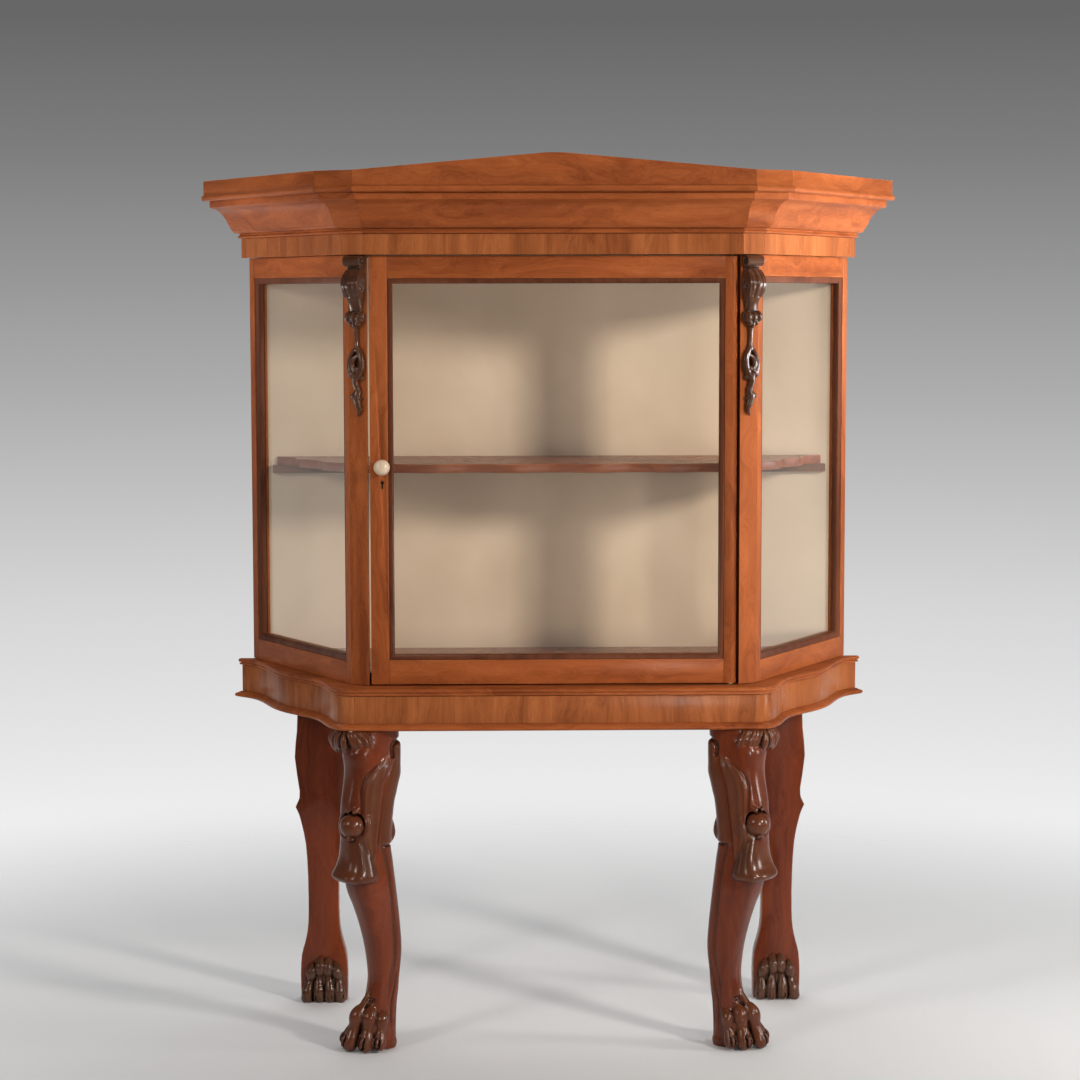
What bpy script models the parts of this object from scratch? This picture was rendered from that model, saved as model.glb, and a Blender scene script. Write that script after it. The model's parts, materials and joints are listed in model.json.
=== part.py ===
"""Glass display cabinet: a canted, glazed case on a serpentine base with carved paw legs.

The frame has +X to the right, +Y to the back and +Z up, in metres. Its origin lies on the floor,
under the middle of the overall width and depth.
"""

import math

import bmesh
import bpy
from mathutils import Matrix, Vector

# Plan of the case, measured at the face of the frieze
FRIEZE_HALF_FRONT = 0.292
FACET_WIDTH = 0.040
FACET_ANGLE = math.radians(30)
SIDE_ANGLE = math.radians(60)
FRIEZE_DEPTH = 0.340
CASE_INSET = 0.011

# Heights of the pieces that stand on each other, from the floor up
LEG_HEIGHT = 0.511
BASE_BOTTOM_THICK = 0.011
BASE_RAIL_HEIGHT = 0.043
BASE_TOP_THICK = 0.012
CASE_HEIGHT = 0.670
FRIEZE_HEIGHT = 0.032
PEDIMENT_RISE = 0.026
PEDIMENT_PEAK_HALF = 0.022

# Cornice moulding: heights of its members from below, and how far each stands out from the frieze
ASTRAGAL_HEIGHT = 0.0055
ASTRAGAL_DEPTH = 0.005
QUIRK_HEIGHT = 0.0025
QUIRK_DEPTH = 0.0025
CYMA_HEIGHT = 0.0435
CYMA_FOOT_DEPTH = 0.0055
CYMA_FOOT_PULL = 0.0145
CYMA_HEAD_PULL = 0.028
CYMA_HEAD_DROP = 0.13
FILLET_HEIGHT = 0.0105
FILLET_DEPTH = 0.045
TORUS_HEIGHT = 0.010
TORUS_DEPTH = 0.057
FASCIA_HEIGHT = 0.023
FASCIA_DEPTH = 0.0535
FASCIA_THICK = 0.022
FRIEZE_THICK = 0.030
TOP_BOARD_THICK = 0.010
CORNICE_BACK_THICK = 0.012

# Serpentine base: stand-out from the case side at places along it, counted from the corner post
BASE_CORNER_RADIUS = 0.030
BASE_CORNER_AT = -0.022
BASE_CORNER_SWELL = 0.034
BASE_FRONT_HOLLOW_AT = 0.085
BASE_FRONT_HOLLOW = 0.016
BASE_MID_SWELL_AT = 0.185
BASE_MID_SWELL = 0.027
BASE_REAR_HOLLOW_AT = 0.325
BASE_REAR_HOLLOW = 0.008
BASE_REAR_SWELL_AT = 0.421
BASE_REAR_SWELL = 0.028
BASE_SIDE_STEPS = 24
BASE_CORNER_STEPS = 5
BASE_RAIL_THICK = 0.018
BASE_TOP_NOSE = 0.0045
BASE_TOP_BEAD = 0.0035
BASE_BOTTOM_NOSE = 0.009

# Case frames, glazing and boards
FRAME_THICK = 0.020
SIDE_STILE_FRONT = 0.015
SIDE_STILE_REAR = 0.018
SIDE_RAIL_TOP = 0.033
SIDE_RAIL_BOTTOM = 0.034
DOOR_BEAD_WIDTH = 0.008
SIDE_BEAD_WIDTH = 0.010
BEAD_SETBACK = 0.0015
BEAD_SLOPE = 0.0045
BEAD_QUIRK = 0.0006
LIP_THICK = 0.004
GLASS_THICK = 0.003
GLASS_EDGE_CLEARANCE = 0.001
BACK_PANEL_THICK = 0.012
LINING_THICK = 0.0015
CASE_FLOOR_THICK = 0.018
CEILING_THICK = 0.012

# Shelf with a waved edge
SHELF_HEIGHT = 0.327
SHELF_THICK = 0.014
SHELF_FRONT_SETBACK = 0.094
SHELF_SIDE_GAP = 0.012
SHELF_WAVE = 0.005
SHELF_WAVES_FRONT = 5
SHELF_WAVES_SIDE = 3
SHELF_STEPS_PER_WAVE = 8
BATTEN_SIZE = 0.013

# Door
DOOR_SIDE_GAP = 0.0035
DOOR_END_GAP = 0.002
DOOR_STOP_GAP = 0.001
DOOR_LOCK_STILE = 0.028
DOOR_HINGE_STILE = 0.020
DOOR_RAIL_TOP = 0.034
DOOR_RAIL_BOTTOM = 0.038

# Pivot hinges at the ends of the hinge stile
PIN_RADIUS = 0.003
PIN_LENGTH = 0.010
PIN_CLEARANCE = 0.00006
PIN_END_CLEARANCE = 0.001
COLLAR_RADIUS = 0.006
HINGE_PLATE_LENGTH = 0.034
HINGE_PLATE_WIDTH = 0.014
HINGE_PLATE_THICK = 0.002
HINGE_PLATE_OVERHANG = 0.006
ROUND_STEPS = 24

# Cut lock with its edge plate, let into the back of the lock stile
LOCK_ABOVE_DOOR_FOOT = 0.326
LOCK_WIDTH = 0.024
LOCK_DEPTH = 0.010
LOCK_CASE_HEIGHT = 0.036
LOCK_PLATE_HEIGHT = 0.042
LOCK_PLATE_DEPTH = 0.014
LOCK_PLATE_THICK = 0.002
BOLT_LENGTH = 0.018
BOLT_THICK = 0.005
BOLT_HEIGHT = 0.012
BOLT_THROW = 0.008
MORTISE_CLEARANCE = 0.0008
KEYHOLE_IN = 0.019
KEYHOLE_DROP = 0.010
KEYHOLE_RADIUS = 0.0024
KEYHOLE_SLOT = 0.0016
KEYHOLE_LENGTH = 0.009

# Turned knob
KNOB_RADIUS = 0.0125
KNOB_IN = 0.0187
KNOB_ABOVE_LOCK = 0.0145
KNOB_NECK_RADIUS = 0.005
KNOB_ROSE_RADIUS = 0.008
KNOB_ROSE_THICK = 0.003
KNOB_STANDOUT = 0.027
KNOB_SHANK_RADIUS = 0.003
KNOB_SHANK_LENGTH = 0.007

# Front legs: placed from the base's rounded corner and turned out from straight ahead
FRONT_LEG_IN_X = 0.041
FRONT_LEG_IN_Y = 0.008
FRONT_LEG_TURN = math.radians(52)
LEG_GIRTH = 0.040
LEG_FLOOR_STOCK = 0.006
LEG_RING_POINTS = 14
LEG_SQUARENESS = 2.8
KNEE_BALL_LEVEL = 0.711
KNEE_BALL_FORWARD = 0.063
KNEE_BALL_RADIUS = 0.020
TUFT_RADIUS = 0.016
TUFT_LENGTH = 0.042
TUFT_ASIDE = 0.019
TUFT_FORWARD = 0.017
TUFT_DROP = 0.021
PAW_LENGTH = 0.073
TOE_HEIGHT = 0.050
TOE_HALF_WIDTH = 0.0115
TOE_START = 0.016

# Rear legs: shaped boards that face the front, with a carved paw on each
REAR_LEG_IN = 0.1364
REAR_LEG_HALF_WIDTH = 0.046
REAR_LEG_INSET = 0.022
REAR_LEG_THICK = 0.028
REAR_PAW_HALF_WIDTH = 0.0365
REAR_PAW_HEIGHT = 0.076
REAR_PAW_DEPTH = 0.019
REAR_TOE_RADIUS = 0.0095
REAR_TOES = 4

# Corbels on the corner posts
CORBEL_HEIGHT = 0.250
CORBEL_HALF_WIDTH = 0.0155
CORBEL_DEPTH = 0.028

# Gap that touching faces keep
SEAT = 0.0003

# Edges shorter than this are merged where a shape is cut off flat
TRIM_MERGE = 0.00001

# Levels and planes that follow from the sizes above
BASE_FOOT_Z = LEG_HEIGHT
BASE_RAIL_Z = BASE_FOOT_Z + BASE_BOTTOM_THICK
BASE_BOARD_Z = BASE_RAIL_Z + BASE_RAIL_HEIGHT
CASE_Z = BASE_BOARD_Z + BASE_TOP_THICK
FRIEZE_Z = CASE_Z + CASE_HEIGHT
CORNICE_Z = FRIEZE_Z + FRIEZE_HEIGHT
CYMA_FOOT = ASTRAGAL_HEIGHT + QUIRK_HEIGHT
FILLET_FOOT = CYMA_FOOT + CYMA_HEIGHT
TORUS_FOOT = FILLET_FOOT + FILLET_HEIGHT
FASCIA_FOOT = TORUS_FOOT + TORUS_HEIGHT
FASCIA_TOP = FASCIA_FOOT + FASCIA_HEIGHT
BACK_Y = (FRIEZE_DEPTH + TORUS_DEPTH) / 2
FRIEZE_Y = BACK_Y - FRIEZE_DEPTH
CASE_Y = FRIEZE_Y + CASE_INSET
LINING_Y = BACK_Y - BACK_PANEL_THICK - SEAT - LINING_THICK
SHELF_Z = CASE_Z + SHELF_HEIGHT


# Materials

def material(name, colour, roughness, metallic=0.0, transmission=0.0):
    made = bpy.data.materials.new(name)
    made.use_nodes = True
    made.diffuse_color = (*colour, 1.0)
    shader = made.node_tree.nodes["Principled BSDF"]
    shader.inputs["Base Color"].default_value = (*colour, 1.0)
    shader.inputs["Roughness"].default_value = roughness
    shader.inputs["Metallic"].default_value = metallic
    shader.inputs["Transmission Weight"].default_value = transmission
    return made


def make_materials():
    return {
        "case": material("case_mahogany", (0.300, 0.085, 0.024), 0.32),
        "veneer": material("figured_veneer", (0.330, 0.105, 0.032), 0.30),
        "leg": material("leg_mahogany", (0.120, 0.030, 0.012), 0.30),
        "carving": material("dark_carving", (0.052, 0.022, 0.013), 0.34),
        "bead": material("ebonised_bead", (0.060, 0.025, 0.018), 0.38),
        "shelf": material("shelf_mahogany", (0.220, 0.060, 0.020), 0.36),
        "back": material("back_board_wood", (0.190, 0.085, 0.038), 0.70),
        "lining": material("cream_lining", (0.560, 0.450, 0.320), 0.85),
        "glass": material("pane_glass", (0.960, 0.980, 0.970), 0.03, transmission=1.0),
        "ivory": material("ivory_knob", (0.800, 0.650, 0.500), 0.28),
        "brass": material("old_brass", (0.480, 0.330, 0.130), 0.38, metallic=1.0),
    }


# Mesh helpers

def loft(rings, closed_path=False):
    """Skins rings of equally many points, and caps the first and last unless the path is closed."""
    bm = bmesh.new()
    rows = [[bm.verts.new(point) for point in ring] for ring in rings]
    pairs = list(zip(rows, rows[1:]))
    if closed_path:
        pairs.append((rows[-1], rows[0]))
    for low, high in pairs:
        for i in range(len(low)):
            j = (i + 1) % len(low)
            bm.faces.new((low[i], low[j], high[j], high[i]))
    if not closed_path:
        bm.faces.new(rows[0][::-1])
        bm.faces.new(rows[-1])
    bmesh.ops.recalc_face_normals(bm, faces=bm.faces)
    return bm


def prism(outline, low, high):
    """An upright solid over a plan outline."""
    return loft([[(x, y, z) for x, y in outline] for z in (low, high)])


def box(low, high):
    (x0, y0, z0), (x1, y1, z1) = low, high
    return prism([(x0, y0), (x1, y0), (x1, y1), (x0, y1)], z0, z1)


def circle(radius, steps=ROUND_STEPS):
    turns = [2 * math.pi * i / steps for i in range(steps)]
    return [(radius * math.cos(turn), radius * math.sin(turn)) for turn in turns]


def turned(profile, steps=ROUND_STEPS):
    """A round solid about Z from (radius, height) points."""
    return loft([[(x, y, height) for x, y in circle(radius, steps)] for radius, height in profile])


def moved(bm, matrix):
    bmesh.ops.transform(bm, matrix=matrix, verts=bm.verts)
    if matrix.determinant() < 0:
        bmesh.ops.reverse_faces(bm, faces=bm.faces)
    return bm


def mirrored(bm):
    return moved(bm.copy(), Matrix.Scale(-1, 4, Vector((1, 0, 0))))


def smooth_rows(rows, steps):
    """Points on a smooth curve through rows of numbers, with this many steps between rows."""
    vectors = [Vector(row) for row in rows]
    ends = [vectors[0], *vectors, vectors[-1]]
    found = []
    for before, start, end, after in zip(ends, ends[1:], ends[2:], ends[3:]):
        for i in range(steps):
            t = i / steps
            pull = (end - before) * t + (2 * before - 5 * start + 4 * end - after) * t ** 2
            found.append(start + 0.5 * (pull + (3 * start - before - 3 * end + after) * t ** 3))
    return [*found, vectors[-1]]


def bezier(p0, p1, p2, p3, steps):
    found = []
    for i in range(steps + 1):
        t = i / steps
        s = 1 - t
        weights = (s ** 3, 3 * s * s * t, 3 * s * t * t, t ** 3)
        found.append(tuple(sum(w * p[k] for w, p in zip(weights, (p0, p1, p2, p3))) for k in (0, 1)))
    return found


def half_round(reach, low, high, back, steps=4):
    """Points of a rounded nose from `low` up to `high`, standing out from `back` to `reach`."""
    middle = (low + high) / 2
    turns = [math.pi * (i / steps - 0.5) for i in range(steps + 1)]
    return [(back + (reach - back) * math.cos(a), middle + (high - low) / 2 * math.sin(a)) for a in turns]


# Objects

def solid(name, bm, finish, parent=None, smooth=None):
    """Makes one named piece from a closed shape, in world places."""
    mesh = bpy.data.meshes.new(name)
    bm.to_mesh(mesh)
    bm.free()
    mesh.materials.append(finish)
    if smooth:
        mesh.shade_smooth()
        mesh.set_sharp_from_angle(angle=math.radians(smooth))
    made = bpy.data.objects.new(name, mesh)
    bpy.context.scene.collection.objects.link(made)
    if parent:
        made.parent = parent
        made.matrix_parent_inverse = Matrix.Translation(parent.location).inverted()
    return made


def pair(name, bm, finish, smooth=None):
    """Makes the right piece as given and the left one as its mirror image."""
    left = solid(name + "_left", mirrored(bm), finish, smooth=smooth)
    right = solid(name + "_right", bm, finish, smooth=smooth)
    return left, right


def joint_empty(name, place):
    made = bpy.data.objects.new(name, None)
    made.location = place
    bpy.context.scene.collection.objects.link(made)
    return made


def cut(piece, bm, name):
    """Cuts a closed shape out of a piece."""
    mesh = bpy.data.meshes.new(name)
    bm.to_mesh(mesh)
    bm.free()
    cutter = bpy.data.objects.new(name, mesh)
    cutter.hide_render = True
    cutter.display_type = "WIRE"
    bpy.context.scene.collection.objects.link(cutter)
    if piece.parent:
        cutter.parent = piece.parent
        cutter.matrix_parent_inverse = piece.matrix_parent_inverse
    modifier = piece.modifiers.new(name, "BOOLEAN")
    modifier.operation = "DIFFERENCE"
    modifier.solver = "EXACT"
    modifier.object = cutter


def fused(shapes):
    """One closed shape from several that overlap."""
    objects = []
    for i, bm in enumerate(shapes):
        mesh = bpy.data.meshes.new("carving_stock")
        bm.to_mesh(mesh)
        bm.free()
        made = bpy.data.objects.new("carving_stock_%d" % i, mesh)
        bpy.context.scene.collection.objects.link(made)
        objects.append(made)
    first, *others = objects
    for other in others:
        modifier = first.modifiers.new(other.name, "BOOLEAN")
        modifier.operation = "UNION"
        modifier.solver = "EXACT"
        modifier.object = other
    graph = bpy.context.evaluated_depsgraph_get()
    whole = bmesh.new()
    whole.from_object(first, graph)
    for made in objects:
        bpy.data.objects.remove(made)
    return whole


def trimmed(bm, point, outward):
    """Cuts a shape off flat at a plane and closes it there."""
    geometry = [*bm.verts, *bm.edges, *bm.faces]
    made = bmesh.ops.bisect_plane(bm, geom=geometry, plane_co=point, plane_no=outward, clear_outer=True)
    rim = [item for item in made["geom_cut"] if isinstance(item, bmesh.types.BMEdge)]
    bmesh.ops.holes_fill(bm, edges=rim)
    bmesh.ops.remove_doubles(bm, verts=bm.verts, dist=TRIM_MERGE)
    return bm


# Plan of the case and its mouldings

def crossing(normal_a, reach_a, normal_b, reach_b):
    """Where two plan lines meet, each given by its normal and its distance along it."""
    scale = normal_a.x * normal_b.y - normal_a.y * normal_b.x
    x = (reach_a * normal_b.y - reach_b * normal_a.y) / scale
    y = (normal_a.x * reach_b - normal_b.x * reach_a) / scale
    return Vector((x, y))


FRONT_NORMAL = Vector((0, -1))
BACK_NORMAL = Vector((0, 1))
FACET_NORMAL = Vector((math.sin(FACET_ANGLE), -math.cos(FACET_ANGLE)))
FACET_RUN = Vector((math.cos(FACET_ANGLE), math.sin(FACET_ANGLE)))
SIDE_NORMAL = Vector((math.sin(SIDE_ANGLE), -math.cos(SIDE_ANGLE)))
SIDE_RUN = Vector((math.cos(SIDE_ANGLE), math.sin(SIDE_ANGLE)))
FRIEZE_CORNER = Vector((FRIEZE_HALF_FRONT, FRIEZE_Y))
FRIEZE_HEEL = FRIEZE_CORNER + FACET_WIDTH * FACET_RUN


def plan(offset, back=BACK_Y):
    """Right-hand corners of the outline that stands this far out from the frieze: front, heel, rear."""
    front_reach = FRONT_NORMAL.dot(FRIEZE_CORNER) + offset
    facet_reach = FACET_NORMAL.dot(FRIEZE_CORNER) + offset
    side_reach = SIDE_NORMAL.dot(FRIEZE_HEEL) + offset
    return (
        crossing(FRONT_NORMAL, front_reach, FACET_NORMAL, facet_reach),
        crossing(FACET_NORMAL, facet_reach, SIDE_NORMAL, side_reach),
        crossing(SIDE_NORMAL, side_reach, BACK_NORMAL, back),
    )


def flipped(point):
    return Vector((-point.x, point.y))


def whole_outline(right_points):
    """A plan outline from its right half, which runs from the front to the back."""
    return [*right_points, *[flipped(point) for point in reversed(right_points)]]


def mitred(profile, run, base):
    """A moulded length along one run of the plan, mitred where it meets the next."""
    starts = []
    ends = []
    for offset, height in profile:
        corner, heel, rear = plan(offset)
        runs = {"front": (flipped(corner), corner), "facet": (corner, heel), "side": (heel, rear)}
        start, end = runs[run]
        trim = (end - start).normalized() * SEAT / 2
        starts.append((*(start + trim), base + height))
        ends.append((*(end - (trim if run != "side" else Vector((0, 0)))), base + height))
    return loft([starts, ends])


CASE_CORNER, CASE_HEEL, CASE_REAR = plan(-CASE_INSET)


# Serpentine base

def base_side_swell(along):
    """How far the base stands out from the case side, at a place along it."""
    places = (
        (BASE_CORNER_AT, BASE_CORNER_SWELL),
        (BASE_FRONT_HOLLOW_AT, BASE_FRONT_HOLLOW),
        (BASE_MID_SWELL_AT, BASE_MID_SWELL),
        (BASE_REAR_HOLLOW_AT, BASE_REAR_HOLLOW),
        (BASE_REAR_SWELL_AT, BASE_REAR_SWELL),
    )
    for (start, low), (end, high) in zip(places, places[1:]):
        if along <= end:
            break
    turn = math.pi * (along - start) / (end - start)
    return (low + high) / 2 + (low - high) / 2 * math.cos(turn)


def base_side_point(along):
    return CASE_HEEL + along * SIDE_RUN + base_side_swell(along) * SIDE_NORMAL


def base_rear_place():
    """Where along the side the base reaches the back plane."""
    low = BASE_MID_SWELL_AT
    high = BASE_REAR_SWELL_AT + BASE_MID_SWELL_AT
    for _ in range(60):
        middle = (low + high) / 2
        if base_side_point(middle).y < BACK_Y:
            low = middle
        else:
            high = middle
    return low


BASE_CORNER_CENTRE = base_side_point(BASE_CORNER_AT) - BASE_CORNER_RADIUS * SIDE_NORMAL


def base_curve():
    """Points and outward normals of the base's right half, from the front to the back."""
    points = []
    for i in range(BASE_CORNER_STEPS):
        turn = SIDE_ANGLE * i / BASE_CORNER_STEPS
        normal = Vector((math.sin(turn), -math.cos(turn)))
        points.append((BASE_CORNER_CENTRE + BASE_CORNER_RADIUS * normal, normal))
    rear = base_rear_place()
    step = (rear - BASE_CORNER_AT) / BASE_SIDE_STEPS
    for i in range(BASE_SIDE_STEPS + 1):
        along = BASE_CORNER_AT + step * i
        tangent = base_side_point(along + step / 8) - base_side_point(along - step / 8)
        normal = Vector((tangent.y, -tangent.x)).normalized()
        points.append((base_side_point(along), normal))
    return points


def base_outline(offset):
    """The right half of the base's outline, this far outside its rails."""
    curve = base_curve()
    points = [point + offset * normal for point, normal in curve[:-1]]
    end, normal = curve[-1]
    points.append(end + Vector((offset / normal.x, 0)))
    return points


def base_board(profile, base):
    """A full serpentine board whose edge follows a profile of (stand-out, height) points."""
    rings = []
    for offset, height in profile:
        rings.append([(*point, base + height) for point in whole_outline(base_outline(offset))])
    return loft(rings)


def make_base(finish):
    top = BASE_TOP_THICK - SEAT
    quirk = top * 0.42
    top_profile = [
        (0, SEAT),
        *half_round(BASE_TOP_BEAD, SEAT, quirk, 0, 3)[1:-1],
        (BASE_TOP_BEAD / 3, quirk),
        *half_round(BASE_TOP_NOSE, quirk, top, BASE_TOP_BEAD / 3, 4)[1:-1],
        (BASE_TOP_BEAD / 3, top),
    ]
    board = solid("base_top_board", base_board(top_profile, BASE_BOARD_Z), finish["case"], smooth=40)
    low = BASE_BOTTOM_THICK * 0.35
    bottom_profile = [
        (BASE_BOTTOM_NOSE * 0.55, SEAT),
        *half_round(BASE_BOTTOM_NOSE, SEAT, low * 2, BASE_BOTTOM_NOSE * 0.55, 4)[1:-1],
        (BASE_BOTTOM_NOSE * 0.55, low * 2),
        (BASE_BOTTOM_NOSE * 0.30, BASE_BOTTOM_THICK * 0.85),
        (0, BASE_BOTTOM_THICK - SEAT),
    ]
    solid("base_bottom_board", base_board(bottom_profile, BASE_FOOT_Z), finish["case"], smooth=40)
    low = BASE_RAIL_Z
    high = BASE_BOARD_Z
    outer = base_outline(0)
    inner = base_outline(-BASE_RAIL_THICK)
    inner = [*[point for point in inner[:-1] if point.y < BACK_Y - SEAT], inner[-1]]
    front_y = outer[0].y
    joint_x = outer[0].x - SEAT / 2
    front = box((-joint_x, front_y, low), (joint_x, front_y + BASE_RAIL_THICK, high))
    solid("base_front_rail", front, finish["veneer"])
    side_foot = [Vector((outer[0].x + SEAT / 2, point.y)) for point in (inner[0], outer[0])]
    side = prism([*side_foot, *outer[1:], *reversed(inner[1:])], low, high)
    pair("base_side_rail", side, finish["veneer"], smooth=40)
    rear_x = crossing(BACK_NORMAL, BACK_Y - BASE_RAIL_THICK, *line_through(inner[-2], inner[-1])).x
    rear = box((-rear_x + SEAT, BACK_Y - BASE_RAIL_THICK, low), (rear_x - SEAT, BACK_Y, high))
    solid("base_back_rail", rear, finish["back"])
    return board


def line_through(start, end):
    normal = Vector((end.y - start.y, start.x - end.x)).normalized()
    return normal, normal.dot(start)


# Legs

# Sections of a front leg by their share of its height: forward place, half depth and half width as
# shares of its girth
LEG_SECTIONS = (
    (1.000, 0.300, 0.863, 0.750),
    (0.940, 0.325, 0.875, 0.762),
    (0.900, 0.462, 1.000, 0.863),
    (0.861, 0.480, 1.050, 0.912),
    (0.812, 0.607, 1.012, 0.875),
    (0.763, 0.725, 0.975, 0.825),
    (0.665, 0.820, 0.887, 0.750),
    (0.585, 0.750, 0.887, 0.750),
    (0.509, 0.630, 0.900, 0.775),
    (0.450, 0.402, 0.800, 0.700),
    (0.391, 0.213, 0.713, 0.637),
    (0.313, 0.037, 0.637, 0.588),
    (0.235, 0.013, 0.555, 0.542),
    (0.176, 0.135, 0.600, 0.575),
    (0.121, 0.438, 0.750, 0.675),
    (0.070, 0.500, 0.762, 0.725),
    (0.000, 0.500, 0.750, 0.713),
)

# Sections of the lobe that hangs below the knee ball, in the same way
LOBE_SECTIONS = (
    (0.656, 1.500, 0.350, 0.400),
    (0.605, 1.450, 0.500, 0.575),
    (0.564, 1.400, 0.650, 0.775),
    (0.541, 1.375, 0.725, 0.900),
    (0.528, 1.350, 0.650, 0.825),
)

# Toes: forward and outward place of each tip, as shares of the paw's length
TOE_TIPS = ((0.712, 0.479), (1, 0.205), (0.849, -0.137), (0.575, -0.342))

# Sections of a toe by their share of its run: width and height as shares of the toe's
TOE_SECTIONS = (
    (0, 0.80, 1.10),
    (0.35, 0.90, 1.08),
    (0.60, 1, 1),
    (0.78, 0.88, 0.68),
    (0.92, 0.74, 0.50),
    (1, 0.42, 0.24),
)


def oval(share, forward, half_depth, half_width, squareness):
    """A level ring of rounded-square shape, at a share of the leg's height."""
    height = (LEG_HEIGHT - SEAT / 2) * share
    ring = []
    for x, y in circle(LEG_GIRTH, LEG_RING_POINTS):
        grow = LEG_GIRTH * (abs(x) ** squareness + abs(y) ** squareness) ** (-1 / squareness)
        ring.append((forward * LEG_GIRTH + half_depth * x * grow, half_width * y * grow, height))
    return ring


def below_floor(ring):
    """The same ring at the foot of the stock that is cut off at the floor."""
    return [(x, y, -LEG_FLOOR_STOCK) for x, y, z in ring]


def leg_shaft():
    rings = [oval(*row, LEG_SQUARENESS) for row in smooth_rows(LEG_SECTIONS, 2)]
    return loft([*rings, below_floor(rings[-1])])


def leg_lobe():
    return loft([oval(*row, 2.2) for row in smooth_rows(LOBE_SECTIONS, 2)])


def leg_ball():
    turns = [math.pi * (i / 9 - 0.5) for i in range(1, 9)]
    profile = [(KNEE_BALL_RADIUS * math.cos(a), KNEE_BALL_RADIUS * math.sin(a)) for a in turns]
    centre = (KNEE_BALL_FORWARD, 0, LEG_HEIGHT * KNEE_BALL_LEVEL)
    return moved(turned(profile, 14), Matrix.Translation(centre))


def toe(tip_forward, tip_out):
    """A toe that rises to a knuckle and falls to its tip, with stock below the floor."""
    tip = PAW_LENGTH * Vector((tip_forward, tip_out))
    start = Vector((TOE_START, tip.y * 0.7))
    run = tip - start
    across = Vector((-run.y, run.x)).normalized()
    rings = []
    for share, width, height in TOE_SECTIONS:
        centre = start + run * share
        ring = []
        for i in range(8):
            turn = math.pi * i / 7
            side = centre + across * TOE_HALF_WIDTH * width * math.cos(turn)
            rise = (TOE_HEIGHT * height + LEG_FLOOR_STOCK) * max(math.sin(turn), 0) ** 0.8
            ring.append((side.x, side.y, rise - LEG_FLOOR_STOCK))
        rings.append(ring)
    return loft(rings)


def tuft(side):
    """A scrolled roll under the base's moulded edge, on one side of its rounded corner."""
    turns = [math.pi * (i / 6 - 0.5) for i in range(7)]
    profile = [(TUFT_RADIUS * 0.30, -TUFT_LENGTH / 2)]
    profile += [(TUFT_RADIUS * (0.5 + 0.5 * math.cos(a)), TUFT_LENGTH * 0.44 * math.sin(a)) for a in turns]
    profile += [(TUFT_RADIUS * 0.30, TUFT_LENGTH / 2)]
    lay = Matrix.Rotation(math.pi / 2, 4, "Y")
    swing = Matrix.Rotation(SIDE_ANGLE / 2 * (1 + side), 4, "Z")
    across = SIDE_ANGLE / 2
    along = Vector((math.cos(across), math.sin(across))) * TUFT_ASIDE * side
    ahead = Vector((math.sin(across), -math.cos(across))) * TUFT_FORWARD
    place = (*(BASE_CORNER_CENTRE + along + ahead), LEG_HEIGHT - TUFT_DROP)
    return moved(turned(profile, 12), Matrix.Translation(place) @ swing @ lay)


def make_front_legs(finish):
    """Carved legs that face out at the base's rounded corners."""
    centre = BASE_CORNER_CENTRE + Vector((-FRONT_LEG_IN_X, FRONT_LEG_IN_Y))
    place = Matrix.Translation((*centre, 0)) @ Matrix.Rotation(FRONT_LEG_TURN - math.pi / 2, 4, "Z")
    shapes = [leg_shaft(), leg_ball(), leg_lobe(), *[toe(*tip) for tip in TOE_TIPS]]
    shapes = [moved(bm, place) for bm in shapes]
    leg = fused([*shapes, tuft(-1), tuft(1)])
    pair("front_leg", trimmed(leg, (0, 0, 0), (0, 0, -1)), finish["leg"], smooth=45)


# Outline of a rear leg by share of its height, as shares of its half width. The cusp is one sharp point.
REAR_LEG_X = base_side_point(base_rear_place()).x - REAR_LEG_IN
REAR_HEAD_OUTLINE = ((1, 0.880), (0.902, 0.913), (0.812, 1), (0.701, 0.837), (0.671, 0.870))
REAR_CUSP = (0.648, 0.989)
REAR_NECK_OUTLINE = ((0.624, 0.870), (0.591, 0.772), (0.524, 0.630), (0.417, 0.561), (0.294, 0.554))
REAR_FOOT_OUTLINE = ((0.235, 0.598), (0.190, 0.707), (0.153, 0.815), (0.088, 0.859), (0, 0.837))


def rear_leg_board():
    edge = [*smooth_rows(REAR_HEAD_OUTLINE, 2), REAR_CUSP]
    edge += smooth_rows([*REAR_NECK_OUTLINE, *REAR_FOOT_OUTLINE], 2)
    outline = [(REAR_LEG_HALF_WIDTH * half, (LEG_HEIGHT - SEAT / 2) * share) for share, half in edge]
    outline += [(-half, height) for half, height in reversed(outline)]
    front = BACK_Y - REAR_LEG_INSET - REAR_LEG_THICK
    rings = [[(REAR_LEG_X + x, front + depth, z) for x, z in outline] for depth in (0, REAR_LEG_THICK)]
    return loft(rings)


# Sections of a rear paw by share of its height: width and stand-out as shares of the paw's
REAR_PAW_SECTIONS = (
    (0, 0.96, 0.85),
    (0.26, 1, 0.85),
    (0.60, 0.92, 0.65),
    (0.86, 0.72, 0.42),
    (1, 0.40, 0.16),
)

# Sections of a rear toe by share of the paw's height: thickness and stand-out as shares of the toe's
REAR_TOE_SECTIONS = (
    (0, 0.80, 1),
    (0.14, 1, 1),
    (0.34, 0.92, 0.94),
    (0.52, 0.80, 0.72),
    (0.72, 0.50, 0.42),
)


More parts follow.
